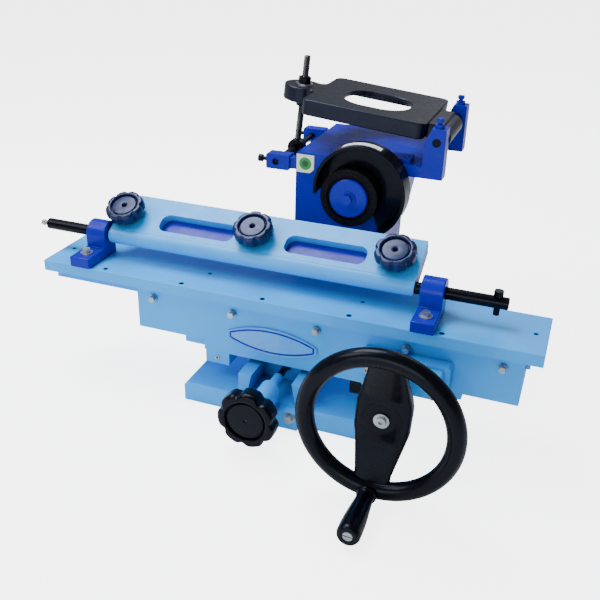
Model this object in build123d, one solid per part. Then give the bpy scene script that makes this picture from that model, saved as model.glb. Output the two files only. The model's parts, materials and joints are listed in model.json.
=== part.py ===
from build123d import *
import math
import os

# Blade grinding machine: a long table slides along X on a saddle, the saddle feeds
# along Y on the base, and a fixed grinding head stands behind. Millimetres, +Z up,
# origin at the middle of the base's bottom face, front of the machine towards -Y.

# ---- base and its two cross ways ----
BASE_LENGTH = 260.0
BASE_DEPTH = 380.0
BASE_THICK = 28.0
BASE_EDGE = 3.0
WAY_HEIGHT = 33.0
WAY_TOP_WIDTH = 19.0
WAY_HALF_GAP = 29.0
WAY_UNDERCUT = 7.0
WAY_RUN = 210.0
BENCH_SPACING_X = 210.0
BENCH_SPACING_Y = 330.0
BENCH_HOLE_R = 4.25
BENCH_HOLE_DEPTH = 18.0

# ---- clearances and fits ----
SLIDE_GAP = 0.3
RUN_GAP = 0.05
SIDE_GAP = 0.3
NUT_GAP = 0.9
EAR_GAP = 2.0

# ---- saddle ----
SADDLE_LENGTH = 535.0
SADDLE_CENTRE_X = 51.5
SADDLE_DEPTH = 81.0
SADDLE_FRONT_Y = -158.0
SADDLE_BOTTOM_Z = 84.0
SADDLE_HEIGHT = 66.7
BELLY_LENGTH = 329.0
BELLY_DROP = 15.0
SHOULDER_LENGTH = 32.0
SHOULDER_DROP = 12.0
SHOULDER_INSET = 5.0
TAIL_SETBACK = 30.0
KEEPER_LENGTH = 36.0
KEEPER_DEPTH = 30.0
KEEPER_DROP = 19.0
KEEPER_LEFT_X = -111.0
STOP_LEFT_X = 101.0
KEEPER_SCREW_R = 3.5
KEEPER_SCREW_T = 3.0

# ---- table, its dovetail rail and the rack ----
TABLE_LENGTH = 700.0
TABLE_WIDTH = 105.0
TABLE_THICK = 16.0
TABLE_OVERHANG_FRONT = 12.0
TABLE_LEFT_X = -360.0
RAIL_HALF_NECK = 25.0
RAIL_FLARE = 6.0
RAIL_HEIGHT = 18.0
RAIL_LEFT_INSET = 4.0
RAIL_RIGHT_INSET = 15.0
TABLE_HOLE_R = 3.3
TABLE_HOLE_PITCH = 222.7
TABLE_HOLE_COUNT = 4
TABLE_SCREW_R = 3.6
TABLE_SCREW_PITCH = 119.5
TABLE_SCREW_COUNT = 5
TABLE_SCREW_EDGE = 8.0
TABLE_SCREW_SHIFT = 13.5
TABLE_SCREW_DEPTH = 5.0
TABLE_SCREW_SUNK = 0.8
TABLE_SOCKET_AF = 2.5
TABLE_HOLE_FLOOR = 4.0
TABLE_EDGE = 0.8
GIB_THICK = 3.0
GIB_SCREW_PITCH = 120.6
GIB_SCREW_COUNT = 5
GIB_SCREW_R = 3.0
GIB_SCREW_DROP = 15.7
GIB_HEAD_AF = 8.0

# ---- rack and pinion ----
MODULE = 2.0
PINION_TEETH = 16
PRESSURE_ANGLE = 20.0
TOOTH_BACKLASH = 0.35
RACK_WIDTH = 12.0
RACK_TEETH = 75
RACK_REACH = 325.0
RACK_BACK = 6.5
PINION_X = 177.0
PINION_WIDTH = 16.0
PINION_SHAFT_R = 8.0
PINION_TAIL_R = 6.0
PINION_TAIL = 15.0
PINION_ROOM = 1.2

# ---- pinion housing ----
HOUSING_WIDTH = 113.0
HOUSING_OFFSET = -0.5
HOUSING_DEPTH = 20.0
HOUSING_ABOVE = 20.4
HOUSING_BELOW = 20.0
COVER_WIDTH = 99.0
COVER_DEPTH = 20.0
COVER_INSET = 4.0
HOUSING_BOSS_R = 15.0
HOUSING_BOSS_LENGTH = 12.0
HOUSING_SCREW_R = 4.3
HOUSING_SCREW_T = 5.0
HOUSING_SCREW_EDGE = 7.0
HOUSING_SOCKET_AF = 4.0

# ---- table handwheel ----
WHEEL_OUTER_D = 200.0
RIM_TUBE_R = 11.0
RIM_DISH = 23.0
HUB_STANDOFF = 58.0
WHEEL_TURN = 3.0
HUB_R = 24.0
HUB_LENGTH = 30.0
HUB_HALF_BAR = 33.5
RIM_HALF_BAR = 18.5
HUB_BAR_THICK = 20.0
RIM_BAR_THICK = 13.0
BAR_CORNER = 4.0
GRIP_LENGTH = 78.0
GRIP_ROOT_R = 10.0
GRIP_END_R = 14.0
GRIP_PIN_R = 4.0
GRIP_HEAD_R = 6.0
GRIP_HEAD_T = 2.5
GRIP_HEAD_GAP = 0.5
GRIP_RECESS = 3.5
GRIP_END_BAND = 9.0
GRIP_CHAMFER = 2.0
HUB_WASHER_R = 9.5
HUB_WASHER_T = 2.0
HUB_RECESS = 2.0
HUB_SCREW_R = 6.0
HUB_SCREW_T = 3.5
HUB_SOCKET_AF = 5.0

# ---- infeed screw, bearing and star knob ----
INFEED_Z = 50.0
INFEED_SCREW_R = 5.0
INFEED_BOSS_R = 13.0
INFEED_BOSS_LENGTH = 40.0
INFEED_UPRIGHT_HALF = 12.0
INFEED_SLEEVE_R = 7.0
INFEED_SLEEVE_LENGTH = 30.0
INFEED_BOLT_AF = 10.0
INFEED_BOLT_T = 6.0
INFEED_WASHER_R = 8.0
INFEED_WASHER_T = 1.5
INFEED_COLLAR_R = 10.0
INFEED_KNOB_LOBES = 7
INFEED_PLATE_WIDTH = 90.0
INFEED_PLATE_T = 15.0
INFEED_PLATE_LIP = 2.0
INFEED_BOLT_SPAN = 69.0
INFEED_BOLT_Z = 21.0
INFEED_NUT_R = 11.0
INFEED_NUT_T = 12.0
INFEED_TAIL = 22.0
INFEED_KNOB_R = 39.5
INFEED_KNOB_T = 25.0
INFEED_KNOB_GAP = 5.0

# ---- blade clamp, its shaft and brackets ----
CLAMP_AXIS_Y = -112.0
CLAMP_AXIS_Z = 198.0
CLAMP_TILT = 28.0
CLAMP_LENGTH = 448.0
CLAMP_LEFT_X = -280.0
CLAMP_TUBE_R = 12.0
CLAMP_SHAFT_R = 8.0
CLAMP_LEFT_END_X = -388.0
CLAMP_RIGHT_END_X = 286.0
JAW_LENGTH = 68.0
JAW_THICK = 10.0
CLAMP_PLATE_START = 2.6
CLAMP_PLATE_END = 70.0
CLAMP_PLATE_T = 12.0
CLAMP_SLOT_LENGTH = 115.0
CLAMP_SLOT_WIDTH = 31.0
CLAMP_SLOT_CORNER = 12.0
CLAMP_SLOT_REACH = 27.3
CLAMP_SLOT_PITCH = 190.7
CLAMP_SLOT_OFFSET = -0.9
KNOB_REACH = 30.0
KNOB_PITCH = 199.5
KNOB_OFFSET = -8.3
KNOB_R = 28.0
KNOB_T = 18.0
KNOB_NECK_R = 9.0
KNOB_NECK_T = 5.0
KNOB_STUD_R = 5.0
KNOB_LOBES = 8
BRACKET_WIDTH = 30.0
BRACKET_FOOT_T = 15.0
BRACKET_FOOT_FRONT = 4.0
BRACKET_HEAD_R = 19.0
BRACKET_COLUMN_T = 29.0
BRACKET_BOLT_Y = -154.0
BRACKET_LEFT_X = -312.0
BRACKET_RIGHT_X = 177.0
BRACKET_BOLT_AF = 10.0
BRACKET_WASHER_R = 9.0
TIP_SCREW_R = 3.0
TIP_BALL_R = 4.5
TIP_REACH = 9.0
TIP_DEPTH = 12.0
CROSS_SCREW_R = 4.0
CROSS_SCREW_INSET = 14.0
CROSS_SCREW_DOWN = 17.0
CROSS_SCREW_UP = 11.0
CROSS_HEAD_R = 6.0
CROSS_HEAD_T = 7.5

# ---- badge and stickers ----
BADGE_LENGTH = 146.0
BADGE_HEIGHT = 40.0
BADGE_T = 2.5
BADGE_BLUNT = 8.0
BADGE_X = -11.0
BADGE_Z = 102.5
STICKER_SIZE = 26.5
STICKER_T = 0.5
STICKER_CUT = 5.8

# ---- grinding head and column ----
HEAD_LEFT_X = -48.0
HEAD_RIGHT_X = 104.0
HEAD_FRONT_Y = 20.0
HEAD_DEPTH = 178.0
HEAD_TOP_Z = 315.0
HEAD_BOTTOM_Z = 207.0
HEAD_TAPER = 19.6
HEAD_EDGE = 2.5
SLAB_THICK = 15.0
COLUMN_STEP = 3.0
COLUMN_DEPTH = 144.0
COLUMN_WAIST_Z = 130.0
COLUMN_RIGHT_X = 80.0
COLUMN_FLANGE = 12.0
PAD_SIZE = 30.0
PAD_RIGHT_X = 116.0
PAD_INSET = 8.0
PAD_HEIGHT = 6.0

# ---- spindle, wheel and guard ----
SPINDLE_X = 41.5
SPINDLE_Z = 266.0
SPINDLE_R = 11.0
WHEEL_R = 41.5
WHEEL_LIP = 9.0
WHEEL_RECESS = 4.0
WHEEL_T = 20.0
WHEEL_CLEAR = 5.0
FLANGE_R = 27.5
FLANGE_T = 6.5
FLANGE_EDGE = 1.5
SPINDLE_NOSE_R = 8.0
SPINDLE_BOLT_AF = 13.0
SPINDLE_BOLT_T = 8.0
SPINDLE_WASHER_T = 1.5
PULLEY_R = 34.0
PULLEY_T = 24.0
PULLEY_GAP = 5.0
PULLEY_GROOVE = 11.0
PULLEY_MOUTH = 16.0
PULLEY_ROOT = 7.0
GUARD_R = 66.6
GUARD_WALL = 3.0
GUARD_DEPTH = 32.0
GUARD_OFFSET_X = 14.5
GUARD_OFFSET_Z = 10.0
GUARD_LIP = 5.0
GUARD_OPEN_FROM = 188.0
GUARD_OPEN_TO = 292.0
LABEL_T = 0.5
LABEL_WIDTH = 11.0
LABEL_INSET = 9.0
LABEL_FROM = 67.0
LABEL_TO = 116.0

# ---- lugs, motor plate and its adjusting rod ----
LUG_PIN_X = -80.0
LUG_PIN_Z = 295.6
LUG_PIN_R = 5.0
LUG_WIDTH = 36.0
LUG_HEIGHT = 22.0
LUG_DEPTH = 20.0
LUG_NECK_INSET = 3.0
LUG_SHIFT = 3.0
LUG_EDGE = 1.5
HINGE_PIN_INSET = 2.0
ROD_PIN_INSET = 4.0
HINGE_X = 152.0
HINGE_Z = 351.0
HINGE_PIN_R = 6.0
HINGE_LUG_DEPTH = 24.0
HINGE_LUG_RIGHT = 12.0
HINGE_LUG_LEFT = 17.0
HINGE_LUG_ABOVE = 18.0
HINGE_LUG_SLOPE = 9.0
HINGE_LUG_BLEND = 2.0
PLATE_TILT = 5.5
PLATE_LENGTH = 179.5
PLATE_DEPTH = 170.0
PLATE_SHIFT_Y = 3.0
PLATE_THICK = 22.0
PLATE_SKIN = 7.0
PLATE_WALL = 8.0
PLATE_RISE = 19.0
PLATE_GAP_TO_PIN = 20.5
PLATE_CORNER = 12.0
PLATE_OPENING_LENGTH = 98.0
PLATE_OPENING_WIDTH = 86.0
PLATE_OPENING_CORNER = 38.0
PLATE_OPENING_X = 1.25
PLATE_OPENING_Y = -7.0
TONGUE_DEPTH = 90.0
TONGUE_FRONT_GAP = 2.0
TONGUE_HUB_R = 14.0
TONGUE_STEP = 2.0
EAR_R = 29.0
EAR_NECK_HALF = 25.0
EAR_BLEND = 9.0
ROD_R = 5.0
ROD_LENGTH = 139.0
EYE_R = 13.0
EYE_WIDTH = 18.0
ROD_NUT_AF = 17.0
ROD_NUT_T = 9.0
ROD_WASHER_R = 13.0
ROD_WASHER_T = 2.0
LUG_SCREW_R = 3.0
LUG_SCREW_HEAD_R = 5.5
LUG_SCREW_HEAD_T = 6.0
LUG_SCREW_REACH = 9.0
TOP_SCREW_RISE = 8.0
TOP_SCREW_T = 5.0
TOP_SCREW_AF = 9.0
TOP_NUT_AF = 12.0

# ---- derived places ----
LUG_LEFT_X = LUG_PIN_X - LUG_WIDTH / 2 + LUG_SHIFT
WAY_TOP_Z = BASE_THICK + WAY_HEIGHT
BASE_FRONT_Y = -BASE_DEPTH / 2
SADDLE_LEFT_X = SADDLE_CENTRE_X - SADDLE_LENGTH / 2
SADDLE_RIGHT_X = SADDLE_LEFT_X + SADDLE_LENGTH
SADDLE_BACK_Y = SADDLE_FRONT_Y + SADDLE_DEPTH
SADDLE_TOP_Z = SADDLE_BOTTOM_Z + SADDLE_HEIGHT
SADDLE_MID_Y = SADDLE_FRONT_Y + SADDLE_DEPTH / 2
BELLY_Z = SADDLE_BOTTOM_Z - BELLY_DROP
TABLE_BOTTOM_Z = SADDLE_TOP_Z + SLIDE_GAP
TABLE_TOP_Z = TABLE_BOTTOM_Z + TABLE_THICK
TABLE_FRONT_Y = SADDLE_FRONT_Y - TABLE_OVERHANG_FRONT
TABLE_BACK_Y = TABLE_FRONT_Y + TABLE_WIDTH
TABLE_RIGHT_X = TABLE_LEFT_X + TABLE_LENGTH
RAIL_BOTTOM_Z = TABLE_BOTTOM_Z - RAIL_HEIGHT
GROOVE_FLOOR_Z = RAIL_BOTTOM_Z - SLIDE_GAP
PITCH_R = MODULE * PINION_TEETH / 2
RACK_PITCH = math.pi * MODULE
ADDENDUM = 0.95 * MODULE
DEDENDUM = 1.25 * MODULE
PINION_Z = RAIL_BOTTOM_Z - RACK_BACK - DEDENDUM - PITCH_R
RACK_PITCH_Z = PINION_Z + PITCH_R
PINION_CAVITY_R = PITCH_R + ADDENDUM + PINION_ROOM
HOUSING_FRONT_Y = SADDLE_FRONT_Y - HOUSING_DEPTH
COVER_FRONT_Y = HOUSING_FRONT_Y - COVER_DEPTH
BOSS_FRONT_Y = COVER_FRONT_Y - HOUSING_BOSS_LENGTH
HUB_BACK_Y = COVER_FRONT_Y - HUB_STANDOFF
HUB_FRONT_Y = HUB_BACK_Y - HUB_LENGTH
RIM_R = WHEEL_OUTER_D / 2 - RIM_TUBE_R
WEB_Y = HUB_FRONT_Y + HUB_BAR_THICK / 2
RIM_Y = WEB_Y - RIM_DISH
GRIP_Z = PINION_Z - RIM_R
GRIP_SEAT_Y = RIM_Y + RIM_TUBE_R / 2
GRIP_START_Y = RIM_Y - RIM_TUBE_R - SIDE_GAP
GRIP_END_Y = GRIP_START_Y - GRIP_LENGTH
CLAMP_RIGHT_X = CLAMP_LEFT_X + CLAMP_LENGTH
CLAMP_MID_X = CLAMP_LEFT_X + CLAMP_LENGTH / 2
HEAD_BACK_Y = HEAD_FRONT_Y + HEAD_DEPTH
GUARD_X = SPINDLE_X + GUARD_OFFSET_X
GUARD_Z = SPINDLE_Z + GUARD_OFFSET_Z
WHEEL_BACK_Y = HEAD_FRONT_Y - GUARD_WALL - WHEEL_CLEAR
WHEEL_FRONT_Y = WHEEL_BACK_Y - WHEEL_T
REAR_LUG_Y = HEAD_BACK_Y - LUG_DEPTH
ROD_Y = HEAD_FRONT_Y + HEAD_DEPTH / 2


def box(x0, x1, y0, y1, z0, z1):
    """Block between two corners."""
    return Pos((x0 + x1) / 2, (y0 + y1) / 2, (z0 + z1) / 2) * Box(x1 - x0, y1 - y0, z1 - z0)


def rod_x(r, x0, x1, y, z):
    """Round bar along X."""
    return Pos((x0 + x1) / 2, y, z) * Rot(0, 90, 0) * Cylinder(r, x1 - x0)


def rod_y(r, y0, y1, x, z):
    """Round bar along Y."""
    return Pos(x, (y0 + y1) / 2, z) * Rot(90, 0, 0) * Cylinder(r, y1 - y0)


def rod_z(r, z0, z1, x, y):
    """Round bar along Z."""
    return Pos(x, y, (z0 + z1) / 2) * Cylinder(r, z1 - z0)


def cone_y(r_front, r_back, y_front, y_back, x, z):
    """Cone along Y with its front radius at the lower y."""
    body = Cone(r_front, r_back, y_back - y_front)
    return Pos(x, (y_front + y_back) / 2, z) * Rot(-90, 0, 0) * body


def prism_y(points, y0, y1):
    """Polygon of (x, z) points drawn along Y."""
    face = make_face(Polyline(*[(x, y0, z) for x, z in points], close=True))
    return extrude(face, amount=y1 - y0, dir=(0, 1, 0))


def prism_x(points, x0, x1):
    """Polygon of (y, z) points drawn along X."""
    face = make_face(Polyline(*[(x0, y, z) for y, z in points], close=True))
    return extrude(face, amount=x1 - x0, dir=(1, 0, 0))


def hexagon(across_flats):
    """Flat hexagon outline."""
    return RegularPolygon(across_flats / 2, 6, major_radius=False)


def hex_z(across_flats, z0, z1, x, y):
    """Hexagonal block along Z."""
    return Pos(x, y, z0) * extrude(hexagon(across_flats), amount=z1 - z0)


def hex_y(across_flats, y0, y1, x, z):
    """Hexagonal block along Y."""
    return Pos(x, y1, z) * Rot(90, 0, 0) * extrude(hexagon(across_flats), amount=y1 - y0)


def save(shapes, name):
    """Write one node; several solids are kept apart inside it."""
    if isinstance(shapes, list):
        shapes = Compound(children=shapes)
    export_step(shapes, f"parts/{name}.step")


def edges_at_z(shape, z):
    """Edges that lie wholly in one level plane."""
    return [e for e in shape.edges() if abs(e.center().Z - z) < 1e-4 and
            abs(e.bounding_box().max.Z - e.bounding_box().min.Z) < 1e-4]


# ---- base, ways and infeed ----
def base():
    """Base plate with two undercut cross ways and tapped bench holes below."""
    half = BASE_LENGTH / 2
    plate = box(-half, half, BASE_FRONT_Y, -BASE_FRONT_Y, 0, BASE_THICK)
    plate = chamfer(edges_at_z(plate, BASE_THICK), BASE_EDGE)
    y1 = BASE_FRONT_Y + WAY_RUN
    foot_in = WAY_HALF_GAP + WAY_UNDERCUT
    out = WAY_HALF_GAP + WAY_TOP_WIDTH
    inset = BASE_EDGE
    for side in (-1, 1):
        profile = [(side * foot_in, BASE_THICK - 1), (side * WAY_HALF_GAP, WAY_TOP_Z),
                   (side * out, WAY_TOP_Z), (side * out, BASE_THICK - 1)]
        plate += prism_y(profile, BASE_FRONT_Y + inset, y1)
    for sx in (-1, 1):
        for sy in (-1, 1):
            plate -= rod_z(BENCH_HOLE_R, 0, BENCH_HOLE_DEPTH,
                           sx * BENCH_SPACING_X / 2, sy * BENCH_SPACING_Y / 2)
    return plate


def infeed_bearing():
    """Front plate with an upright, a long boss and a rear sleeve for the infeed screw."""
    half = INFEED_PLATE_WIDTH / 2
    y0 = BASE_FRONT_Y - INFEED_PLATE_T
    body = box(-half, half, y0, BASE_FRONT_Y, INFEED_PLATE_LIP, BASE_THICK)
    width = INFEED_UPRIGHT_HALF
    body += box(-width, width, y0, BASE_FRONT_Y, BASE_THICK - 1, INFEED_Z)
    boss_y = y0 - INFEED_BOSS_LENGTH
    sleeve_y = BASE_FRONT_Y + INFEED_SLEEVE_LENGTH
    body += rod_y(INFEED_BOSS_R, boss_y, BASE_FRONT_Y, 0, INFEED_Z)
    body += rod_y(INFEED_SLEEVE_R, y0, sleeve_y, 0, INFEED_Z)
    return body - rod_y(INFEED_SCREW_R + RUN_GAP, boss_y - 1, sleeve_y + 1, 0, INFEED_Z)


def infeed_bolts():
    """Two hexagon screws that hold the bearing plate."""
    y0 = BASE_FRONT_Y - INFEED_PLATE_T
    bolts = []
    for side in (-1, 1):
        x = side * INFEED_BOLT_SPAN / 2
        seat = y0 - INFEED_WASHER_T
        bolts.append(rod_y(INFEED_WASHER_R, seat, y0, x, INFEED_BOLT_Z) +
                     hex_y(INFEED_BOLT_AF, seat - INFEED_BOLT_T, seat, x, INFEED_BOLT_Z))
    return bolts


def infeed_knob_back():
    """Y of the infeed knob's rear face."""
    return BASE_FRONT_Y - INFEED_PLATE_T - INFEED_BOSS_LENGTH - INFEED_KNOB_GAP


def infeed_screw():
    """Plain-turned infeed screw with a thrust collar in front of the boss."""
    y0 = infeed_knob_back() - INFEED_KNOB_T + 4
    y1 = SADDLE_BACK_Y + INFEED_NUT_T + INFEED_TAIL
    collar_y = BASE_FRONT_Y - INFEED_PLATE_T - INFEED_BOSS_LENGTH - SIDE_GAP
    screw = rod_y(INFEED_SCREW_R, y0, y1, 0, INFEED_Z)
    return screw + rod_y(INFEED_COLLAR_R, infeed_knob_back(), collar_y, 0, INFEED_Z)


def star_knob(radius, thick, lobes, bore_r):
    """Lobed knob on Z with a dished front, its rear face at z = 0."""
    knob = Pos(0, 0, thick / 2) * Cylinder(radius, thick)
    notch_r = radius * 0.2
    for k in range(lobes):
        angle = 360.0 * k / lobes
        notch = Pos(radius + notch_r * 0.45, 0, thick / 2) * Cylinder(notch_r, thick + 2)
        knob -= Rot(0, 0, angle) * notch
    ring = Cylinder(radius * 0.68, 3) - Cylinder(radius * 0.46, 3)
    knob -= Pos(0, 0, thick - 1.5) * ring
    knob -= Pos(0, 0, thick / 2) * Cylinder(bore_r, thick + 2)
    return knob


def infeed_knob():
    """Large star knob on the infeed screw."""
    knob = star_knob(INFEED_KNOB_R, INFEED_KNOB_T, INFEED_KNOB_LOBES, INFEED_SCREW_R)
    return Pos(0, infeed_knob_back(), INFEED_Z) * Rot(90, 0, 0) * knob


def infeed_nut():
    """Bronze nut behind the saddle's cross dovetail."""
    nut = rod_y(INFEED_NUT_R, SADDLE_BACK_Y, SADDLE_BACK_Y + INFEED_NUT_T, 0, INFEED_Z)
    return nut - rod_y(INFEED_SCREW_R + RUN_GAP, SADDLE_BACK_Y - 1,
                       SADDLE_BACK_Y + INFEED_NUT_T + 1, 0, INFEED_Z)


# ---- saddle, table and drive ----
def groove_profile(gib):
    """(y, z) outline of the table dovetail's groove, widened in front for the gib."""
    gap = SLIDE_GAP
    top = RAIL_HALF_NECK + gap
    low = top + RAIL_FLARE
    front = gib
    mid = SADDLE_MID_Y
    return [(mid - top - front, SADDLE_TOP_Z + 1), (mid - low - front, GROOVE_FLOOR_Z),
            (mid + low, GROOVE_FLOOR_Z), (mid + top, SADDLE_TOP_Z + 1)]


def saddle():
    """Saddle with the table groove above, the cross dovetail below and the rack slot."""
    body = box(SADDLE_LEFT_X, SADDLE_RIGHT_X, SADDLE_FRONT_Y, SADDLE_BACK_Y,
               SADDLE_BOTTOM_Z, SADDLE_TOP_Z)
    half = BELLY_LENGTH / 2
    x0 = SADDLE_CENTRE_X - half
    x1 = SADDLE_CENTRE_X + half
    body += box(x0, x1, SADDLE_FRONT_Y, SADDLE_BACK_Y, BELLY_Z, SADDLE_BOTTOM_Z)
    body += box(x0 - SHOULDER_LENGTH, x1 + SHOULDER_LENGTH, SADDLE_FRONT_Y + SHOULDER_INSET,
                SADDLE_BACK_Y - SHOULDER_INSET, SADDLE_BOTTOM_Z - SHOULDER_DROP,
                SADDLE_BOTTOM_Z)
    foot = BASE_THICK + SLIDE_GAP
    slope = WAY_UNDERCUT / WAY_HEIGHT
    top_half = WAY_HALF_GAP - SLIDE_GAP
    low_half = top_half + slope * (WAY_TOP_Z - foot)
    tail = [(-low_half, foot), (-top_half, WAY_TOP_Z), (-top_half, BELLY_Z + 1),
            (top_half, BELLY_Z + 1), (top_half, WAY_TOP_Z), (low_half, foot)]
    body += prism_y(tail, SADDLE_FRONT_Y + TAIL_SETBACK, SADDLE_BACK_Y)
    body -= prism_x(groove_profile(GIB_THICK), SADDLE_LEFT_X - 1, SADDLE_RIGHT_X + 1)
    slot = RACK_WIDTH / 2 + SLIDE_GAP
    slot_z = RACK_PITCH_Z - ADDENDUM - 1.0
    body -= box(SADDLE_LEFT_X - 1, SADDLE_RIGHT_X + 1, SADDLE_MID_Y - slot,
                SADDLE_MID_Y + slot, slot_z, GROOVE_FLOOR_Z + 1)
    cavity_back = SADDLE_MID_Y + PINION_WIDTH / 2 + 1
    body -= rod_y(PINION_CAVITY_R, SADDLE_FRONT_Y - 1, cavity_back, PINION_X, PINION_Z)
    body -= rod_y(PINION_TAIL_R + RUN_GAP, cavity_back - 1, cavity_back + PINION_TAIL + 2,
                  PINION_X, PINION_Z)
    body -= rod_y(INFEED_SCREW_R + 1.5, SADDLE_FRONT_Y - 1, SADDLE_BACK_Y + 1, 0, INFEED_Z)
    for x in gib_screw_places():
        body -= rod_y(GIB_SCREW_R, SADDLE_FRONT_Y - 1, SADDLE_MID_Y - RAIL_HALF_NECK,
                      x, gib_screw_z())
    return body


def under_block(x0):
    """Block under the belly's front edge, flush with the saddle's front."""
    return box(x0, x0 + KEEPER_LENGTH, SADDLE_FRONT_Y, SADDLE_FRONT_Y + KEEPER_DEPTH,
               BELLY_Z - KEEPER_DROP, BELLY_Z)


def keeper_block():
    """Left block under the saddle, bored for its screw."""
    hole = rod_y(KEEPER_SCREW_R, SADDLE_FRONT_Y - 1, SADDLE_FRONT_Y + KEEPER_SCREW_T,
                 KEEPER_LEFT_X + KEEPER_LENGTH / 2, BELLY_Z - KEEPER_DROP / 2)
    return under_block(KEEPER_LEFT_X) - hole


def keeper_screw():
    """Flush socket screw in the left block."""
    x = KEEPER_LEFT_X + KEEPER_LENGTH / 2
    z = BELLY_Z - KEEPER_DROP / 2
    back = SADDLE_FRONT_Y + KEEPER_SCREW_T
    screw = rod_y(KEEPER_SCREW_R, SADDLE_FRONT_Y - 1, back, x, z)
    return screw - hex_y(KEEPER_SCREW_R, SADDLE_FRONT_Y - 2, back - 1, x, z)


def gib_screw_places():
    """X of each gib screw, evenly spaced about the saddle's middle."""
    first = SADDLE_CENTRE_X + 1.0 - GIB_SCREW_PITCH * (GIB_SCREW_COUNT - 1) / 2
    return [first + GIB_SCREW_PITCH * k for k in range(GIB_SCREW_COUNT)]


def gib_screw_z():
    """Height of the gib screws."""
    return SADDLE_TOP_Z - GIB_SCREW_DROP


def gib_face_y(z):
    """Y of the gib's front face at one height."""
    share = (SADDLE_TOP_Z + 1 - z) / (SADDLE_TOP_Z + 1 - GROOVE_FLOOR_Z)
    return SADDLE_MID_Y - RAIL_HALF_NECK - SLIDE_GAP - GIB_THICK - RAIL_FLARE * share


def gib():
    """Slanted gib strip between the groove's front wall and the rail."""
    z1 = SADDLE_TOP_Z - 1
    z0 = GROOVE_FLOOR_Z
    y1 = gib_face_y(z1)
    y0 = gib_face_y(z0)
    t = GIB_THICK
    profile = [(y0, z0), (y0 + t, z0), (y1 + t, z1), (y1, z1)]
    return prism_x(profile, SADDLE_LEFT_X + 2, SADDLE_RIGHT_X - 2)


def gib_screws():
    """Hexagon screws with lock nuts along the saddle's front."""
    screws = []
    z = gib_screw_z()
    tip = gib_face_y(z - GIB_SCREW_R)
    for x in gib_screw_places():
        stem = rod_y(GIB_SCREW_R, SADDLE_FRONT_Y - 6, tip, x, z)
        nut = hex_y(GIB_HEAD_AF + 2, SADDLE_FRONT_Y - 4, SADDLE_FRONT_Y, x, z)
        head = hex_y(GIB_HEAD_AF, SADDLE_FRONT_Y - 10, SADDLE_FRONT_Y - 5, x, z)
        screws.append(stem + nut + head)
    return screws


def rail_profile():
    """(y, z) outline of the table's dovetail rail."""
    mid = SADDLE_MID_Y
    low = RAIL_HALF_NECK + RAIL_FLARE
    return [(mid - RAIL_HALF_NECK, TABLE_BOTTOM_Z + 1), (mid - low, RAIL_BOTTOM_Z),
            (mid + low, RAIL_BOTTOM_Z), (mid + RAIL_HALF_NECK, TABLE_BOTTOM_Z + 1)]


def table_hole_places():
    """X of the holes along the table's centre line."""
    mid = TABLE_LEFT_X + TABLE_LENGTH / 2
    first = mid - TABLE_HOLE_PITCH * (TABLE_HOLE_COUNT - 1) / 2
    return [first + TABLE_HOLE_PITCH * k for k in range(TABLE_HOLE_COUNT)]


def table_screw_places():
    """X of the small screws along the table's front edge."""
    mid = TABLE_LEFT_X + TABLE_LENGTH / 2 - TABLE_SCREW_SHIFT
    first = mid - TABLE_SCREW_PITCH * (TABLE_SCREW_COUNT - 1) / 2
    return [first + TABLE_SCREW_PITCH * k for k in range(TABLE_SCREW_COUNT)]


def table():
    """Long table with its dovetail rail and top holes."""
    top = box(TABLE_LEFT_X, TABLE_RIGHT_X, TABLE_FRONT_Y, TABLE_BACK_Y,
              TABLE_BOTTOM_Z, TABLE_TOP_Z)
    top = chamfer(edges_at_z(top, TABLE_TOP_Z), TABLE_EDGE)
    top += prism_x(rail_profile(), TABLE_LEFT_X + RAIL_LEFT_INSET,
                   TABLE_RIGHT_X - RAIL_RIGHT_INSET)
    mid_y = TABLE_FRONT_Y + TABLE_WIDTH / 2
    for x in table_hole_places():
        top -= rod_z(TABLE_HOLE_R, TABLE_BOTTOM_Z + TABLE_HOLE_FLOOR, TABLE_TOP_Z + 1, x, mid_y)
    for x in table_screw_places():
        top -= rod_z(TABLE_SCREW_R, TABLE_TOP_Z - TABLE_SCREW_DEPTH, TABLE_TOP_Z + 1, x,
                     TABLE_FRONT_Y + TABLE_SCREW_EDGE)
    return top


def table_screws():
    """Small recessed screws along the table's front edge."""
    screws = []
    for x in table_screw_places():
        y = TABLE_FRONT_Y + TABLE_SCREW_EDGE
        foot = TABLE_TOP_Z - TABLE_SCREW_DEPTH
        screw = rod_z(TABLE_SCREW_R, foot, TABLE_TOP_Z - TABLE_SCREW_SUNK, x, y)
        screws.append(screw - hex_z(TABLE_SOCKET_AF, foot + 2, TABLE_TOP_Z, x, y))
    return screws


def rack():
    """Rack under the rail: trapezoid teeth pointing down, one space over the pinion."""
    flank = math.tan(math.radians(PRESSURE_ANGLE))
    tip_z = RACK_PITCH_Z - ADDENDUM
    root_z = RACK_PITCH_Z + DEDENDUM
    half_pitch_tooth = RACK_PITCH / 4 - TOOTH_BACKLASH / 4
    half_tip = half_pitch_tooth - ADDENDUM * flank
    half_root = half_pitch_tooth + DEDENDUM * flank
    first = PINION_X - RACK_PITCH * (round(RACK_REACH / RACK_PITCH) + 0.5)
    outline = [(first - RACK_PITCH / 2, RAIL_BOTTOM_Z), (first - RACK_PITCH / 2, root_z)]
    for k in range(RACK_TEETH):
        x = first + k * RACK_PITCH
        outline += [(x - half_root, root_z), (x - half_tip, tip_z),
                    (x + half_tip, tip_z), (x + half_root, root_z)]
    end = first + (RACK_TEETH - 0.5) * RACK_PITCH
    outline += [(end, root_z), (end, RAIL_BOTTOM_Z)]
    return prism_y(outline, SADDLE_MID_Y - RACK_WIDTH / 2, SADDLE_MID_Y + RACK_WIDTH / 2)


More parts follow.
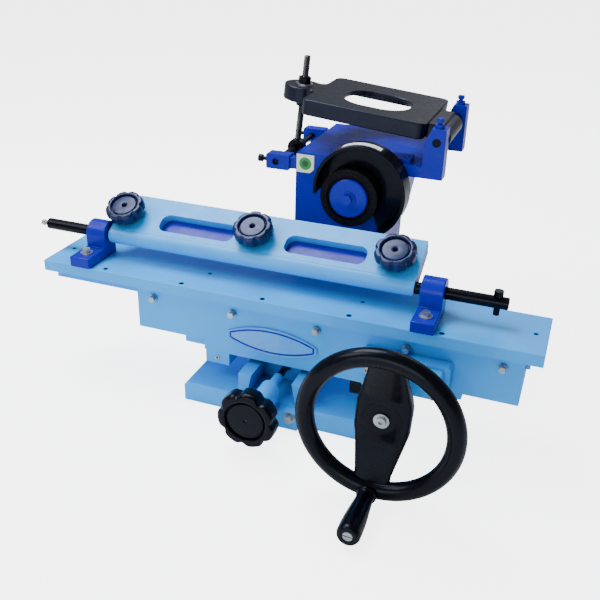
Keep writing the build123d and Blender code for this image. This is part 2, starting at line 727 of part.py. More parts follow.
def pinion_outline():
    """Involute outline of the pinion, one tooth pointing straight up."""
    alpha = math.radians(PRESSURE_ANGLE)
    base_r = PITCH_R * math.cos(alpha)
    tip_r = PITCH_R + ADDENDUM
    root_r = PITCH_R - DEDENDUM
    at_pitch = math.tan(alpha) - alpha
    half = (RACK_PITCH / 2 - TOOTH_BACKLASH / 2) / (2 * PITCH_R) + at_pitch
    flank = []
    for k in range(6):
        r = max(base_r, root_r) + (tip_r - max(base_r, root_r)) * k / 5
        a = math.acos(min(1.0, base_r / r))
        flank.append((r, half - (math.tan(a) - a)))
    points = []
    for tooth in range(PINION_TEETH):
        centre = math.pi / 2 - tooth * 2 * math.pi / PINION_TEETH
        polar = [(root_r, flank[0][1] + 0.02)] + flank
        for r, t in polar:
            points.append((r * math.cos(centre + t), r * math.sin(centre + t)))
        for r, t in reversed(polar):
            points.append((r * math.cos(centre - t), r * math.sin(centre - t)))
    return [(PINION_X + x, PINION_Z + z) for x, z in points]


def pinion():
    """Pinion on its shaft, from the handwheel to the rear bearing."""
    half = PINION_WIDTH / 2
    y_back = SADDLE_MID_Y + half + 1 + PINION_TAIL
    gear = prism_y(pinion_outline(), SADDLE_MID_Y - half, SADDLE_MID_Y + half)
    gear += rod_y(PINION_SHAFT_R, HUB_FRONT_Y, SADDLE_MID_Y, PINION_X, PINION_Z)
    gear += rod_y(PINION_TAIL_R, SADDLE_MID_Y, y_back, PINION_X, PINION_Z)
    return gear


def pinion_housing():
    """Bearing block of the pinion shaft on the saddle's front."""
    x0 = PINION_X + HOUSING_OFFSET - HOUSING_WIDTH / 2
    z0 = PINION_Z - HOUSING_BELOW
    z1 = PINION_Z + HOUSING_ABOVE
    block = box(x0, x0 + HOUSING_WIDTH, HOUSING_FRONT_Y, SADDLE_FRONT_Y, z0, z1)
    block = chamfer(block.edges().filter_by(Axis.Y), 2.0)
    return block - shaft_bore()


def shaft_bore():
    """Running bore for the pinion shaft."""
    return rod_y(PINION_SHAFT_R + RUN_GAP, BOSS_FRONT_Y - 1, SADDLE_FRONT_Y + 1,
                 PINION_X, PINION_Z)


def housing_cover():
    """Stepped front cover with the long bearing boss."""
    x0 = PINION_X + HOUSING_OFFSET - COVER_WIDTH / 2
    z0 = PINION_Z - HOUSING_BELOW + COVER_INSET
    z1 = PINION_Z + HOUSING_ABOVE - COVER_INSET
    plate = box(x0, x0 + COVER_WIDTH, COVER_FRONT_Y, HOUSING_FRONT_Y, z0, z1)
    plate = chamfer(plate.edges().filter_by(Axis.Y), 2.0)
    plate += rod_y(HOUSING_BOSS_R, BOSS_FRONT_Y, COVER_FRONT_Y, PINION_X, PINION_Z)
    return plate - shaft_bore()


def housing_screws():
    """Four cap screws in the cover's corners."""
    screws = []
    inset = COVER_INSET + HOUSING_SCREW_EDGE
    mid = PINION_X + HOUSING_OFFSET
    reach = COVER_WIDTH / 2 - HOUSING_SCREW_EDGE
    front = COVER_FRONT_Y - HOUSING_SCREW_T
    for x in (mid - reach, mid + reach):
        for z in (PINION_Z - HOUSING_BELOW + inset, PINION_Z + HOUSING_ABOVE - inset):
            head = rod_y(HOUSING_SCREW_R, front, COVER_FRONT_Y, x, z)
            screws.append(head - hex_y(HOUSING_SOCKET_AF, front - 1, front + 2.5, x, z))
    return screws


def turned(shape):
    """Turn a handwheel piece about the pinion axis to the wheel's rest angle."""
    return (Pos(PINION_X, 0, PINION_Z) * Rot(0, WHEEL_TURN, 0) * Pos(-PINION_X, 0, -PINION_Z)
            * shape)


def wheel_bar(side):
    """One spoke: a tapered flat bar from the hub out to the dished rim."""
    near = Plane(origin=(PINION_X, WEB_Y, PINION_Z), z_dir=(0, 0, side), x_dir=(1, 0, 0))
    far = Plane(origin=(PINION_X, RIM_Y, PINION_Z + side * (RIM_R - RIM_TUBE_R / 4)),
                z_dir=(0, 0, side), x_dir=(1, 0, 0))
    sections = [near * RectangleRounded(2 * HUB_HALF_BAR, HUB_BAR_THICK, BAR_CORNER),
                far * RectangleRounded(2 * RIM_HALF_BAR, RIM_BAR_THICK, BAR_CORNER)]
    return loft(Sketch() + sections)


def handwheel():
    """Dished two-spoke handwheel keyed to the pinion shaft."""
    rim = Pos(PINION_X, RIM_Y, PINION_Z) * Rot(90, 0, 0) * Torus(RIM_R, RIM_TUBE_R)
    hub = rod_y(HUB_R, HUB_FRONT_Y, HUB_BACK_Y, PINION_X, PINION_Z)
    web = rod_y(HUB_HALF_BAR, WEB_Y - HUB_BAR_THICK / 2, WEB_Y + HUB_BAR_THICK / 2,
                PINION_X, PINION_Z)
    wheel = rim + hub + web + wheel_bar(1) + wheel_bar(-1)
    wheel -= rod_y(PINION_SHAFT_R, HUB_FRONT_Y - 1, HUB_BACK_Y + 1, PINION_X, PINION_Z)
    wheel -= rod_y(HUB_WASHER_R + HUB_RECESS, RIM_Y, HUB_FRONT_Y, PINION_X, PINION_Z)
    wheel -= rod_y(GRIP_PIN_R, RIM_Y - 2 * RIM_TUBE_R, GRIP_SEAT_Y, PINION_X, GRIP_Z)
    return turned(wheel)


def hub_screw():
    """Washer and screw that keep the handwheel on its shaft."""
    y = HUB_FRONT_Y
    washer = rod_y(HUB_WASHER_R, y - HUB_WASHER_T, y, PINION_X, PINION_Z)
    seat = y - HUB_WASHER_T
    head = rod_y(HUB_SCREW_R, seat - HUB_SCREW_T, seat, PINION_X, PINION_Z)
    socket = hex_y(HUB_SOCKET_AF, seat - 2 * HUB_SCREW_T, seat - 1, PINION_X, PINION_Z)
    return washer + (head - socket)


def grip_pin():
    """Fixed pin of the revolving grip, with its end screw."""
    end = GRIP_END_Y
    pin = rod_y(GRIP_PIN_R, end + GRIP_RECESS, GRIP_SEAT_Y, PINION_X, GRIP_Z)
    head = rod_y(GRIP_HEAD_R, end + GRIP_RECESS - GRIP_HEAD_T, end + GRIP_RECESS,
                 PINION_X, GRIP_Z)
    slot = box(PINION_X - GRIP_HEAD_R, PINION_X + GRIP_HEAD_R, end,
               end + GRIP_RECESS - GRIP_HEAD_T / 2, GRIP_Z - 0.7, GRIP_Z + 0.7)
    return turned(pin + (head - slot))


def grip():
    """Tapered revolving grip on its pin."""
    y0 = GRIP_END_Y
    y1 = GRIP_START_Y
    body = cone_y(GRIP_END_R, GRIP_ROOT_R, y0 + GRIP_END_BAND, y1, PINION_X, GRIP_Z)
    body += rod_y(GRIP_END_R, y0 + GRIP_CHAMFER, y0 + GRIP_END_BAND, PINION_X, GRIP_Z)
    body += cone_y(GRIP_END_R - GRIP_CHAMFER, GRIP_END_R, y0, y0 + GRIP_CHAMFER,
                   PINION_X, GRIP_Z)
    body -= rod_y(GRIP_PIN_R + RUN_GAP, y0 - 1, y1 + 1, PINION_X, GRIP_Z)
    body -= rod_y(GRIP_HEAD_R + GRIP_HEAD_GAP, y0 - 1, y0 + GRIP_RECESS + SIDE_GAP,
                  PINION_X, GRIP_Z)
    return turned(body)


# ---- badge ----
def badge():
    """Long oval raised plate on the saddle's front."""
    half = BADGE_LENGTH / 2
    rise = BADGE_HEIGHT / 2
    radius = (half * half + rise * rise) / (2 * rise)
    y0 = SADDLE_FRONT_Y - BADGE_T
    lens = (rod_y(radius, y0, SADDLE_FRONT_Y, BADGE_X, BADGE_Z + rise - radius) &
            rod_y(radius, y0, SADDLE_FRONT_Y, BADGE_X, BADGE_Z - rise + radius))
    cut = half - BADGE_BLUNT
    return lens & box(BADGE_X - cut, BADGE_X + cut, y0, SADDLE_FRONT_Y,
                      BADGE_Z - rise, BADGE_Z + rise)


# ---- clamp ----
def bracket(x0):
    """Bracket with a front foot and a round head about the clamp shaft."""
    x1 = x0 + BRACKET_WIDTH
    front = CLAMP_AXIS_Y - BRACKET_HEAD_R
    back = front + BRACKET_COLUMN_T
    foot_front = TABLE_FRONT_Y - BRACKET_FOOT_FRONT
    foot_top = TABLE_TOP_Z + BRACKET_FOOT_T
    body = box(x0, x1, foot_front, back, TABLE_TOP_Z, foot_top)
    body += box(x0, x1, front, back, TABLE_TOP_Z, CLAMP_AXIS_Z)
    body += rod_x(BRACKET_HEAD_R, x0, x1, CLAMP_AXIS_Y, CLAMP_AXIS_Z)
    return body - rod_x(CLAMP_SHAFT_R + RUN_GAP, x0 - 1, x1 + 1, CLAMP_AXIS_Y, CLAMP_AXIS_Z)


def bracket_bolts():
    """Hexagon bolt and washer on each bracket foot."""
    z = TABLE_TOP_Z + BRACKET_FOOT_T
    bolts = []
    for x0 in (BRACKET_LEFT_X, BRACKET_RIGHT_X):
        x = x0 + BRACKET_WIDTH / 2
        bolts.append(rod_z(BRACKET_WASHER_R, z, z + 1.5, x, BRACKET_BOLT_Y) +
                     hex_z(BRACKET_BOLT_AF, z + 1.5, z + 7, x, BRACKET_BOLT_Y))
    return bolts


def tilted(shape):
    """Bring a piece built level on the clamp axis to the clamp's rest angle."""
    return Pos(0, CLAMP_AXIS_Y, CLAMP_AXIS_Z) * Rot(CLAMP_TILT, 0, 0) * shape


def clamp_shaft():
    """Long round shaft through both brackets."""
    shaft = rod_x(CLAMP_SHAFT_R, CLAMP_LEFT_END_X, CLAMP_RIGHT_END_X,
                  CLAMP_AXIS_Y, CLAMP_AXIS_Z)
    shaft = chamfer(shaft.edges().filter_by(GeomType.CIRCLE), 1.0)
    x = CLAMP_RIGHT_END_X - CROSS_SCREW_INSET
    shaft -= rod_z(CROSS_SCREW_R, CLAMP_AXIS_Z - 20, CLAMP_AXIS_Z + 20, x, CLAMP_AXIS_Y)
    return shaft - rod_x(TIP_SCREW_R, CLAMP_LEFT_END_X - 1, CLAMP_LEFT_END_X + TIP_DEPTH,
                         CLAMP_AXIS_Y, CLAMP_AXIS_Z)


def tip_screw():
    """Ball-headed screw in the shaft's left end."""
    ball_x = CLAMP_LEFT_END_X - TIP_REACH
    stem = rod_x(TIP_SCREW_R, ball_x, CLAMP_LEFT_END_X + TIP_DEPTH, CLAMP_AXIS_Y, CLAMP_AXIS_Z)
    ball = Pos(ball_x, CLAMP_AXIS_Y, CLAMP_AXIS_Z) * Rot(0, 90, 0) * Sphere(TIP_BALL_R)
    return stem + ball


def cross_screw():
    """Round-headed screw across the shaft's right end."""
    x = CLAMP_RIGHT_END_X - CROSS_SCREW_INSET
    z = CLAMP_AXIS_Z
    seat = z + CLAMP_SHAFT_R + 0.5
    stem = rod_z(CROSS_SCREW_R, z - CROSS_SCREW_DOWN, z + CROSS_SCREW_UP, x, CLAMP_AXIS_Y)
    return stem + rod_z(CROSS_HEAD_R, seat, seat + CROSS_HEAD_T, x, CLAMP_AXIS_Y)


def hinge_bar():
    """Round bar that carries the clamp on its shaft."""
    bar = rod_x(CLAMP_TUBE_R, CLAMP_LEFT_X, CLAMP_RIGHT_X, 0, 0)
    return tilted(bar - rod_x(CLAMP_SHAFT_R, CLAMP_LEFT_X - 1, CLAMP_RIGHT_X + 1, 0, 0))


def clamp_flat(y0, y1, z0, z1):
    """Flat bar behind the hinge bar, hollowed to it and bored for the studs."""
    flat = box(CLAMP_LEFT_X, CLAMP_RIGHT_X, y0, y1, z0, z1)
    flat -= rod_x(CLAMP_TUBE_R, CLAMP_LEFT_X - 1, CLAMP_RIGHT_X + 1, 0, 0)
    for x in knob_places():
        flat -= rod_z(KNOB_STUD_R + RUN_GAP, z0 - 1, z1 + 1, x, KNOB_REACH)
    return flat


def lower_jaw():
    """Flat lower jaw behind the hinge bar."""
    return tilted(clamp_flat(0, JAW_LENGTH, -JAW_THICK, 0))


def slot_places():
    """X of the two long slots' centres."""
    mid = CLAMP_MID_X + CLAMP_SLOT_OFFSET
    return [mid - CLAMP_SLOT_PITCH / 2, mid + CLAMP_SLOT_PITCH / 2]


def clamp_plate():
    """Upper clamp plate with two long slots."""
    plate = clamp_flat(CLAMP_PLATE_START, CLAMP_PLATE_END, 0, CLAMP_PLATE_T)
    for x in slot_places():
        window = RectangleRounded(CLAMP_SLOT_LENGTH, CLAMP_SLOT_WIDTH, CLAMP_SLOT_CORNER)
        plate -= Pos(x, CLAMP_SLOT_REACH, -1) * extrude(window, amount=CLAMP_PLATE_T + 2)
    return tilted(plate)


def knob_places():
    """X of the three clamp knobs."""
    mid = CLAMP_MID_X + KNOB_OFFSET
    return [mid - KNOB_PITCH, mid, mid + KNOB_PITCH]


def clamp_knob(x):
    """Star knob with its clamping stud."""
    z0 = CLAMP_PLATE_T + SIDE_GAP + KNOB_NECK_T
    knob = Pos(x, KNOB_REACH, z0) * star_knob(KNOB_R, KNOB_T, KNOB_LOBES, KNOB_STUD_R * 0.6)
    knob += rod_z(KNOB_NECK_R, CLAMP_PLATE_T + SIDE_GAP, z0, x, KNOB_REACH)
    knob += rod_z(KNOB_STUD_R, 1 - JAW_THICK, z0 + KNOB_T * 0.6, x, KNOB_REACH)
    return tilted(knob)


# ---- grinding head ----
def head():
    """Head casting with its arms and lugs for the motor plate."""
    y0 = HEAD_FRONT_Y
    y1 = HEAD_BACK_Y
    body = prism_y([(HEAD_LEFT_X, HEAD_BOTTOM_Z), (HEAD_LEFT_X, HEAD_TOP_Z),
                    (HEAD_RIGHT_X, HEAD_TOP_Z), (HEAD_RIGHT_X - HEAD_TAPER, HEAD_BOTTOM_Z)],
                   y0, y1)
    body = chamfer(body.edges().filter_by(Axis.Y).sort_by(Axis.Z)[-2:], HEAD_EDGE)
    body += box(HEAD_RIGHT_X - 2 * HEAD_EDGE, HINGE_X - HINGE_LUG_LEFT, y0, y1,
                HEAD_TOP_Z - SLAB_THICK, HEAD_TOP_Z)
    pad_y = y0 + PAD_INSET
    body += box(PAD_RIGHT_X - PAD_SIZE, PAD_RIGHT_X, pad_y, pad_y + PAD_SIZE,
                HEAD_TOP_Z - 1, HEAD_TOP_Z + PAD_HEIGHT)
    body += hinge_lug(y0) + hinge_lug(y1 - HINGE_LUG_DEPTH)
    body += pin_lug(y0) + pin_lug(REAR_LUG_Y)
    body -= rod_y(SPINDLE_R + RUN_GAP, y0 - 1, y1 + 1, SPINDLE_X, SPINDLE_Z)
    body -= rod_y(HINGE_PIN_R, y0 - 1, y1 + 1, HINGE_X, HINGE_Z)
    body -= rod_y(LUG_PIN_R, y0 - 1, y1 + 1, LUG_PIN_X, LUG_PIN_Z)
    return body - lug_screw_holes()


def hinge_lug(y0):
    """Right-hand lug on its arm, holding the motor plate's hinge pin."""
    x1 = HINGE_X + HINGE_LUG_RIGHT
    x0 = HINGE_X - HINGE_LUG_LEFT
    top = HINGE_Z + HINGE_LUG_ABOVE
    low = HEAD_TOP_Z - SLAB_THICK
    inner = HEAD_RIGHT_X - HEAD_TAPER
    foot = HEAD_TOP_Z - 1
    outline = [(inner, low), (inner, foot), (x0 - HINGE_LUG_BLEND, foot),
               (x0, HEAD_TOP_Z + HINGE_LUG_BLEND), (x0, HINGE_Z - HINGE_LUG_BLEND),
               (x0 + HINGE_LUG_SLOPE, top), (x1, top), (x1, low)]
    return prism_y(outline, y0, y0 + HINGE_LUG_DEPTH)


def pin_lug(y0):
    """Left-hand lug on a short neck, holding the rod's pin."""
    x0 = LUG_LEFT_X
    z0 = LUG_PIN_Z - LUG_HEIGHT / 2
    lug = box(x0, x0 + LUG_WIDTH, y0, y0 + LUG_DEPTH, z0, z0 + LUG_HEIGHT)
    lug = chamfer(lug.edges().filter_by(Axis.Y), LUG_EDGE)
    inset = LUG_NECK_INSET
    return lug + box(x0 + LUG_WIDTH - 1, HEAD_LEFT_X + 1, y0 + inset, y0 + LUG_DEPTH - inset,
                     z0 + inset, z0 + LUG_HEIGHT - inset)


def lug_screw_places():
    """(y, left face x) of the two left lug screws."""
    half = LUG_DEPTH / 2
    return [(HEAD_FRONT_Y + half, LUG_LEFT_X), (REAR_LUG_Y + half, LUG_LEFT_X)]


def top_screw_places():
    """Y of the two screws on top of the hinge lugs."""
    half = HINGE_LUG_DEPTH / 2
    return [HEAD_FRONT_Y + half, HEAD_BACK_Y - half]


def lug_screw_holes():
    """Tapped holes of the lug screws."""
    y, x = lug_screw_places()[0]
    holes = rod_x(LUG_SCREW_R, x - 1, LUG_PIN_X, y, LUG_PIN_Z)
    y, x = lug_screw_places()[1]
    holes += rod_x(LUG_SCREW_R, x - 1, LUG_PIN_X, y, LUG_PIN_Z)
    for y in top_screw_places():
        holes += rod_z(LUG_SCREW_R, HINGE_Z, HINGE_Z + HINGE_LUG_ABOVE + 1, HINGE_X, y)
    return holes


def lug_screws():
    """Round-headed locking screws in the left lugs."""
    screws = []
    for y, x in lug_screw_places():
        head_x = x - LUG_SCREW_REACH
        stem = rod_x(LUG_SCREW_R, head_x, LUG_PIN_X - LUG_PIN_R, y, LUG_PIN_Z)
        screws.append(stem + rod_x(LUG_SCREW_HEAD_R, head_x - LUG_SCREW_HEAD_T, head_x,
                                   y, LUG_PIN_Z))
    return screws


def top_screws():
    """Hexagon locking screws on top of the hinge lugs."""
    screws = []
    top = HINGE_Z + HINGE_LUG_ABOVE
    for y in top_screw_places():
        head_z = top + TOP_SCREW_RISE
        stem = rod_z(LUG_SCREW_R, HINGE_Z + HINGE_PIN_R, head_z, HINGE_X, y)
        nut = hex_z(TOP_NUT_AF, top, top + TOP_SCREW_T, HINGE_X, y)
        screws.append(stem + nut + hex_z(TOP_SCREW_AF, head_z, head_z + TOP_SCREW_T, HINGE_X, y))
    return screws


def hinge_pin():
    """Hinge pin through the tongue and both right lugs."""
    return rod_y(HINGE_PIN_R, HEAD_FRONT_Y + HINGE_PIN_INSET,
                 HEAD_BACK_Y - HINGE_PIN_INSET, HINGE_X, HINGE_Z)


def rod_pin():
    """Pin through the adjusting rod's eye and both left lugs."""
    return rod_y(LUG_PIN_R, HEAD_FRONT_Y + ROD_PIN_INSET,
                 HEAD_BACK_Y - ROD_PIN_INSET, LUG_PIN_X, LUG_PIN_Z)


def column():
    """Tapered column between the base and the head."""
    y0 = HEAD_FRONT_Y + COLUMN_STEP
    left = HEAD_LEFT_X + COLUMN_STEP
    right = HEAD_RIGHT_X - HEAD_TAPER - COLUMN_STEP
    outline = [(left, BASE_THICK), (left, HEAD_BOTTOM_Z), (right, HEAD_BOTTOM_Z),
               (COLUMN_RIGHT_X, COLUMN_WAIST_Z), (COLUMN_RIGHT_X, BASE_THICK)]
    body = prism_y(outline, y0, y0 + COLUMN_DEPTH)
    flange = COLUMN_FLANGE
    return body + box(left - flange, COLUMN_RIGHT_X + flange, y0, y0 + COLUMN_DEPTH,
                      BASE_THICK, BASE_THICK + flange)


def spindle():
    """Grinding spindle through the head."""
    y1 = HEAD_BACK_Y + PULLEY_GAP + PULLEY_T
    nose = rod_y(SPINDLE_NOSE_R, WHEEL_FRONT_Y, WHEEL_BACK_Y + 1, SPINDLE_X, SPINDLE_Z)
    return nose + rod_y(SPINDLE_R, WHEEL_BACK_Y, y1, SPINDLE_X, SPINDLE_Z)


def grinding_wheel():
    """Cup wheel with a recessed face."""
    wheel = rod_y(WHEEL_R, WHEEL_FRONT_Y, WHEEL_BACK_Y, SPINDLE_X, SPINDLE_Z)
    wheel -= rod_y(WHEEL_R - WHEEL_LIP, WHEEL_FRONT_Y - 1, WHEEL_FRONT_Y + WHEEL_RECESS,
                   SPINDLE_X, SPINDLE_Z)
    return wheel - rod_y(SPINDLE_NOSE_R, WHEEL_FRONT_Y - 1, WHEEL_BACK_Y + 1,
                         SPINDLE_X, SPINDLE_Z)


def wheel_flange():
    """Round clamping flange in the wheel's face."""
    y1 = WHEEL_FRONT_Y + WHEEL_RECESS
    flange = rod_y(FLANGE_R, y1 - FLANGE_T, y1, SPINDLE_X, SPINDLE_Z)
    flange = chamfer(flange.edges().sort_by(Axis.Y)[:1], FLANGE_EDGE)
    return flange - rod_y(SPINDLE_NOSE_R, y1 - FLANGE_T - 1, y1 + 1, SPINDLE_X, SPINDLE_Z)


def spindle_bolt():
    """Hexagon bolt that holds the flange and wheel."""
    y1 = WHEEL_FRONT_Y + WHEEL_RECESS - FLANGE_T
    seat = y1 - SPINDLE_WASHER_T
    bolt = hex_y(SPINDLE_BOLT_AF, y1 - SPINDLE_BOLT_T, seat, SPINDLE_X, SPINDLE_Z)
    return bolt + rod_y(SPINDLE_R, seat, y1, SPINDLE_X, SPINDLE_Z)


def pulley():
    """Grooved belt pulley behind the head."""
    y0 = HEAD_BACK_Y + PULLEY_GAP
    y1 = y0 + PULLEY_T
    mid = (y0 + y1) / 2
    body = rod_y(PULLEY_R, y0, y1, SPINDLE_X, SPINDLE_Z)
    root_r = PULLEY_R - PULLEY_GROOVE
    ring = Polyline((PULLEY_R + 1, -PULLEY_MOUTH / 2), (PULLEY_R + 1, PULLEY_MOUTH / 2),
                    (root_r, PULLEY_ROOT / 2), (root_r, -PULLEY_ROOT / 2), close=True)
    groove = revolve(Plane.XZ * make_face(ring), Axis.Z)
    body -= Pos(SPINDLE_X, mid, SPINDLE_Z) * Rot(90, 0, 0) * groove
    return body - rod_y(SPINDLE_R, y0 - 1, y1 + 1, SPINDLE_X, SPINDLE_Z)


def sector(radius, a0, a1, y0, y1, x, z):
    """Pie slice about an axis along Y, between two angles from +X towards +Z."""
    steps = 12
    points = [(x, z)]
    for k in range(steps + 1):
        a = math.radians(a0 + (a1 - a0) * k / steps)
        points.append((x + 1.3 * radius * math.cos(a), z + 1.3 * radius * math.sin(a)))
    return prism_y(points, y0, y1)


def guard():
    """Open drum guard about the wheel, cut away at the lower left."""
    y1 = HEAD_FRONT_Y
    y0 = y1 - GUARD_DEPTH
    drum = rod_y(GUARD_R, y0, y1, GUARD_X, GUARD_Z)
    drum -= rod_y(GUARD_R - GUARD_WALL, y0 + GUARD_WALL, y1 - GUARD_WALL, GUARD_X, GUARD_Z)
    drum -= rod_y(GUARD_R - GUARD_LIP, y0 - 1, y0 + GUARD_WALL + 1, GUARD_X, GUARD_Z)
    drum -= sector(GUARD_R, GUARD_OPEN_FROM, GUARD_OPEN_TO, y0 - 1, y1 + 1,
                   GUARD_X, GUARD_Z)
    return drum - rod_y(SPINDLE_R + 2, y0, y1 + 1, SPINDLE_X, SPINDLE_Z)


def guard_label():
    """Blank strip on the top of the guard's drum."""
    y0 = HEAD_FRONT_Y - GUARD_DEPTH + LABEL_INSET
    y1 = y0 + LABEL_WIDTH
    ring = rod_y(GUARD_R + LABEL_T, y0, y1, GUARD_X, GUARD_Z)
    ring -= rod_y(GUARD_R, y0 - 1, y1 + 1, GUARD_X, GUARD_Z)
    return ring & sector(GUARD_R, LABEL_FROM, LABEL_TO, y0 - 1, y1 + 1, GUARD_X, GUARD_Z)


def sticker():
    """Square sticker with one cut corner on the head's upper left front."""
    x0 = HEAD_LEFT_X + 1
    z1 = HEAD_TOP_Z - 3
    square = box(x0, x0 + STICKER_SIZE, HEAD_FRONT_Y - STICKER_T, HEAD_FRONT_Y,
                 z1 - STICKER_SIZE, z1)
    low_right = max(square.edges().filter_by(Axis.Y), key=lambda e: e.center().X - e.center().Z)
    return chamfer([low_right], STICKER_CUT)


# ---- motor plate ----
def hinged(shape):
    """Bring a piece built level about the hinge pin to the plate's rest tilt."""
    return Pos(HINGE_X, 0, HINGE_Z) * Rot(0, PLATE_TILT, 0) * shape


def ear_x():
    """Ear centre in the plate's own axes, square above the rod's pin."""
    a = math.radians(PLATE_TILT)
    return (LUG_PIN_X - HINGE_X) * math.cos(a) - (LUG_PIN_Z - HINGE_Z) * math.sin(a)


def motor_plate():
    """Hollow motor plate with a wide opening, a tongue on the hinge and a rounded ear."""
    z0 = PLATE_RISE - PLATE_THICK
    x1 = -PLATE_GAP_TO_PIN
    x0 = x1 - PLATE_LENGTH
    mid_x = (x0 + x1) / 2
    mid_y = ROD_Y + PLATE_SHIFT_Y
    y0 = mid_y - PLATE_DEPTH / 2
    plate = box(x0, x1, y0, y0 + PLATE_DEPTH, z0, PLATE_RISE)
    plate = fillet(plate.edges().filter_by(Axis.Z), PLATE_CORNER)
    neck = EAR_NECK_HALF
    plate += box(ear_x(), x0 + 1, ROD_Y - neck, ROD_Y + neck, z0, PLATE_RISE)
    root = [e for e in plate.edges().filter_by(Axis.Z)
            if abs(e.center().X - x0) < 0.01 and abs(abs(e.center().Y - ROD_Y) - neck) < 0.01]
    plate = fillet(root, EAR_BLEND)
    plate += rod_z(EAR_R, z0, PLATE_RISE, ear_x(), ROD_Y)
    hollow = RectangleRounded(PLATE_LENGTH - 2 * PLATE_WALL, PLATE_DEPTH - 2 * PLATE_WALL,
                              PLATE_CORNER / 2)
    plate -= Pos(mid_x, mid_y, z0 - 1) * extrude(hollow, amount=PLATE_THICK - PLATE_SKIN + 1)
    opening = RectangleRounded(PLATE_OPENING_LENGTH, PLATE_OPENING_WIDTH,
                               PLATE_OPENING_CORNER)
    plate -= Pos(mid_x + PLATE_OPENING_X, mid_y + PLATE_OPENING_Y, z0 - 1) * extrude(
        opening, amount=PLATE_THICK + 2)
    return hinged(plate + tongue(x1) - plate_bores())


def tongue(x1):
    """Tongue from the plate's right edge to its tube about the hinge pin."""
    t0 = HEAD_FRONT_Y + HINGE_LUG_DEPTH + TONGUE_FRONT_GAP
    t1 = t0 + TONGUE_DEPTH
    bar = box(x1 - 1, 0, t0, t1, PLATE_RISE - PLATE_THICK, PLATE_RISE - TONGUE_STEP)
    return bar + rod_y(TONGUE_HUB_R, t0, t1, 0, 0)


def plate_bores():
    """Bores of the hinge pin and of the adjusting rod in the motor plate."""
    pin = rod_y(HINGE_PIN_R + RUN_GAP, HEAD_FRONT_Y, HEAD_BACK_Y, 0, 0)
    z0 = PLATE_RISE - PLATE_THICK
    return pin + rod_z(ROD_R + EAR_GAP, z0 - 1, PLATE_RISE + 1, ear_x(), ROD_Y)


def rod_placed(shape):
    """Bring a piece built upright on the rod pin to the rod's rest tilt."""
    return Pos(LUG_PIN_X, ROD_Y, LUG_PIN_Z) * Rot(0, PLATE_TILT, 0) * shape


def eye_rod():
    """Threaded adjusting rod with an eye on the left pin."""
    rod = rod_z(ROD_R, EYE_R - 2, ROD_LENGTH, 0, 0)
    rod = chamfer(rod.edges().sort_by(Axis.Z)[-1:], 1.0)
    rod += rod_y(EYE_R, -EYE_WIDTH / 2, EYE_WIDTH / 2, 0, 0)
    return rod_placed(rod - rod_y(LUG_PIN_R + RUN_GAP, -EYE_WIDTH, EYE_WIDTH, 0, 0))


def nut_with_hole(z0, z1):
    """Hexagon nut with an easy bore about the rod, in the plate's own axes."""
    nut = hex_z(ROD_NUT_AF, z0, z1, ear_x(), ROD_Y)
    return nut - rod_z(ROD_R + NUT_GAP, z0 - 1, z1 + 1, ear_x(), ROD_Y)


def upper_nut():
    """Nut above the ear."""
    z0 = PLATE_RISE + ROD_WASHER_T
    return hinged(nut_with_hole(z0 + SIDE_GAP, z0 + SIDE_GAP + ROD_NUT_T))


def lower_nut():
    """Nut below the ear."""
    z1 = PLATE_RISE - PLATE_THICK - SIDE_GAP
    return hinged(nut_with_hole(z1 - ROD_NUT_T, z1))


def rod_washer():
    """Washer on the ear."""
    washer = rod_z(ROD_WASHER_R, PLATE_RISE, PLATE_RISE + ROD_WASHER_T, ear_x(), ROD_Y)
    washer -= rod_z(ROD_R + NUT_GAP, PLATE_RISE - 1, PLATE_RISE + 5, ear_x(), ROD_Y)
    return hinged(washer)


def main():
    """Write every node."""
    os.makedirs("parts", exist_ok=True)
    save(base(), "base")
    save(infeed_bearing(), "infeed_bearing")
    save(infeed_bolts(), "infeed_bolts")
    save(infeed_screw(), "infeed_screw")
    save(infeed_knob(), "infeed_knob")
    save(infeed_nut(), "infeed_nut")
    save(saddle(), "saddle")
    save(gib(), "table_gib")
    save(gib_screws(), "gib_screws")
    save(keeper_block(), "keeper_block")
    save(keeper_screw(), "keeper_screw")
    save(under_block(STOP_LEFT_X), "stop_block")
    save(badge(), "badge")
    save(table(), "table")
    save(table_screws(), "table_screws")
    save(rack(), "rack")
    save(pinion(), "pinion")
    save(pinion_housing(), "pinion_housing")
    save(housing_cover(), "housing_cover")
    save(housing_screws(), "housing_screws")
    save(handwheel(), "handwheel")
    save(hub_screw(), "hub_screw")
    save(grip_pin(), "grip_pin")
    save(grip(), "grip")
    save([bracket(BRACKET_LEFT_X), bracket(BRACKET_RIGHT_X)], "brackets")
    save(bracket_bolts(), "bracket_bolts")
    save(clamp_shaft(), "clamp_shaft")
    save(tip_screw(), "tip_screw")
    save(cross_screw(), "cross_screw")
    save(hinge_bar(), "hinge_bar")
    save(lower_jaw(), "lower_jaw")
    save(clamp_plate(), "clamp_plate")
    for name, x in zip(("left", "middle", "right"), knob_places()):
        save(clamp_knob(x), f"clamp_knob_{name}")
    save(column(), "column")
    save(head(), "head")
    save(hinge_pin(), "hinge_pin")
    save(rod_pin(), "rod_pin")
    save(lug_screws(), "lug_screws")
    save(top_screws(), "top_screws")
    save(spindle(), "spindle")
    save(grinding_wheel(), "grinding_wheel")
    save(wheel_flange(), "wheel_flange")
    save(spindle_bolt(), "spindle_bolt")
    save(pulley(), "pulley")
    save(guard(), "guard")
    save(guard_label(), "guard_label")
    save(sticker(), "sticker")
    save(motor_plate(), "motor_plate")
    save(eye_rod(), "eye_rod")
    save(upper_nut(), "upper_nut")
    save(lower_nut(), "lower_nut")
    save(rod_washer(), "rod_washer")


main()
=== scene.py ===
import json
import math

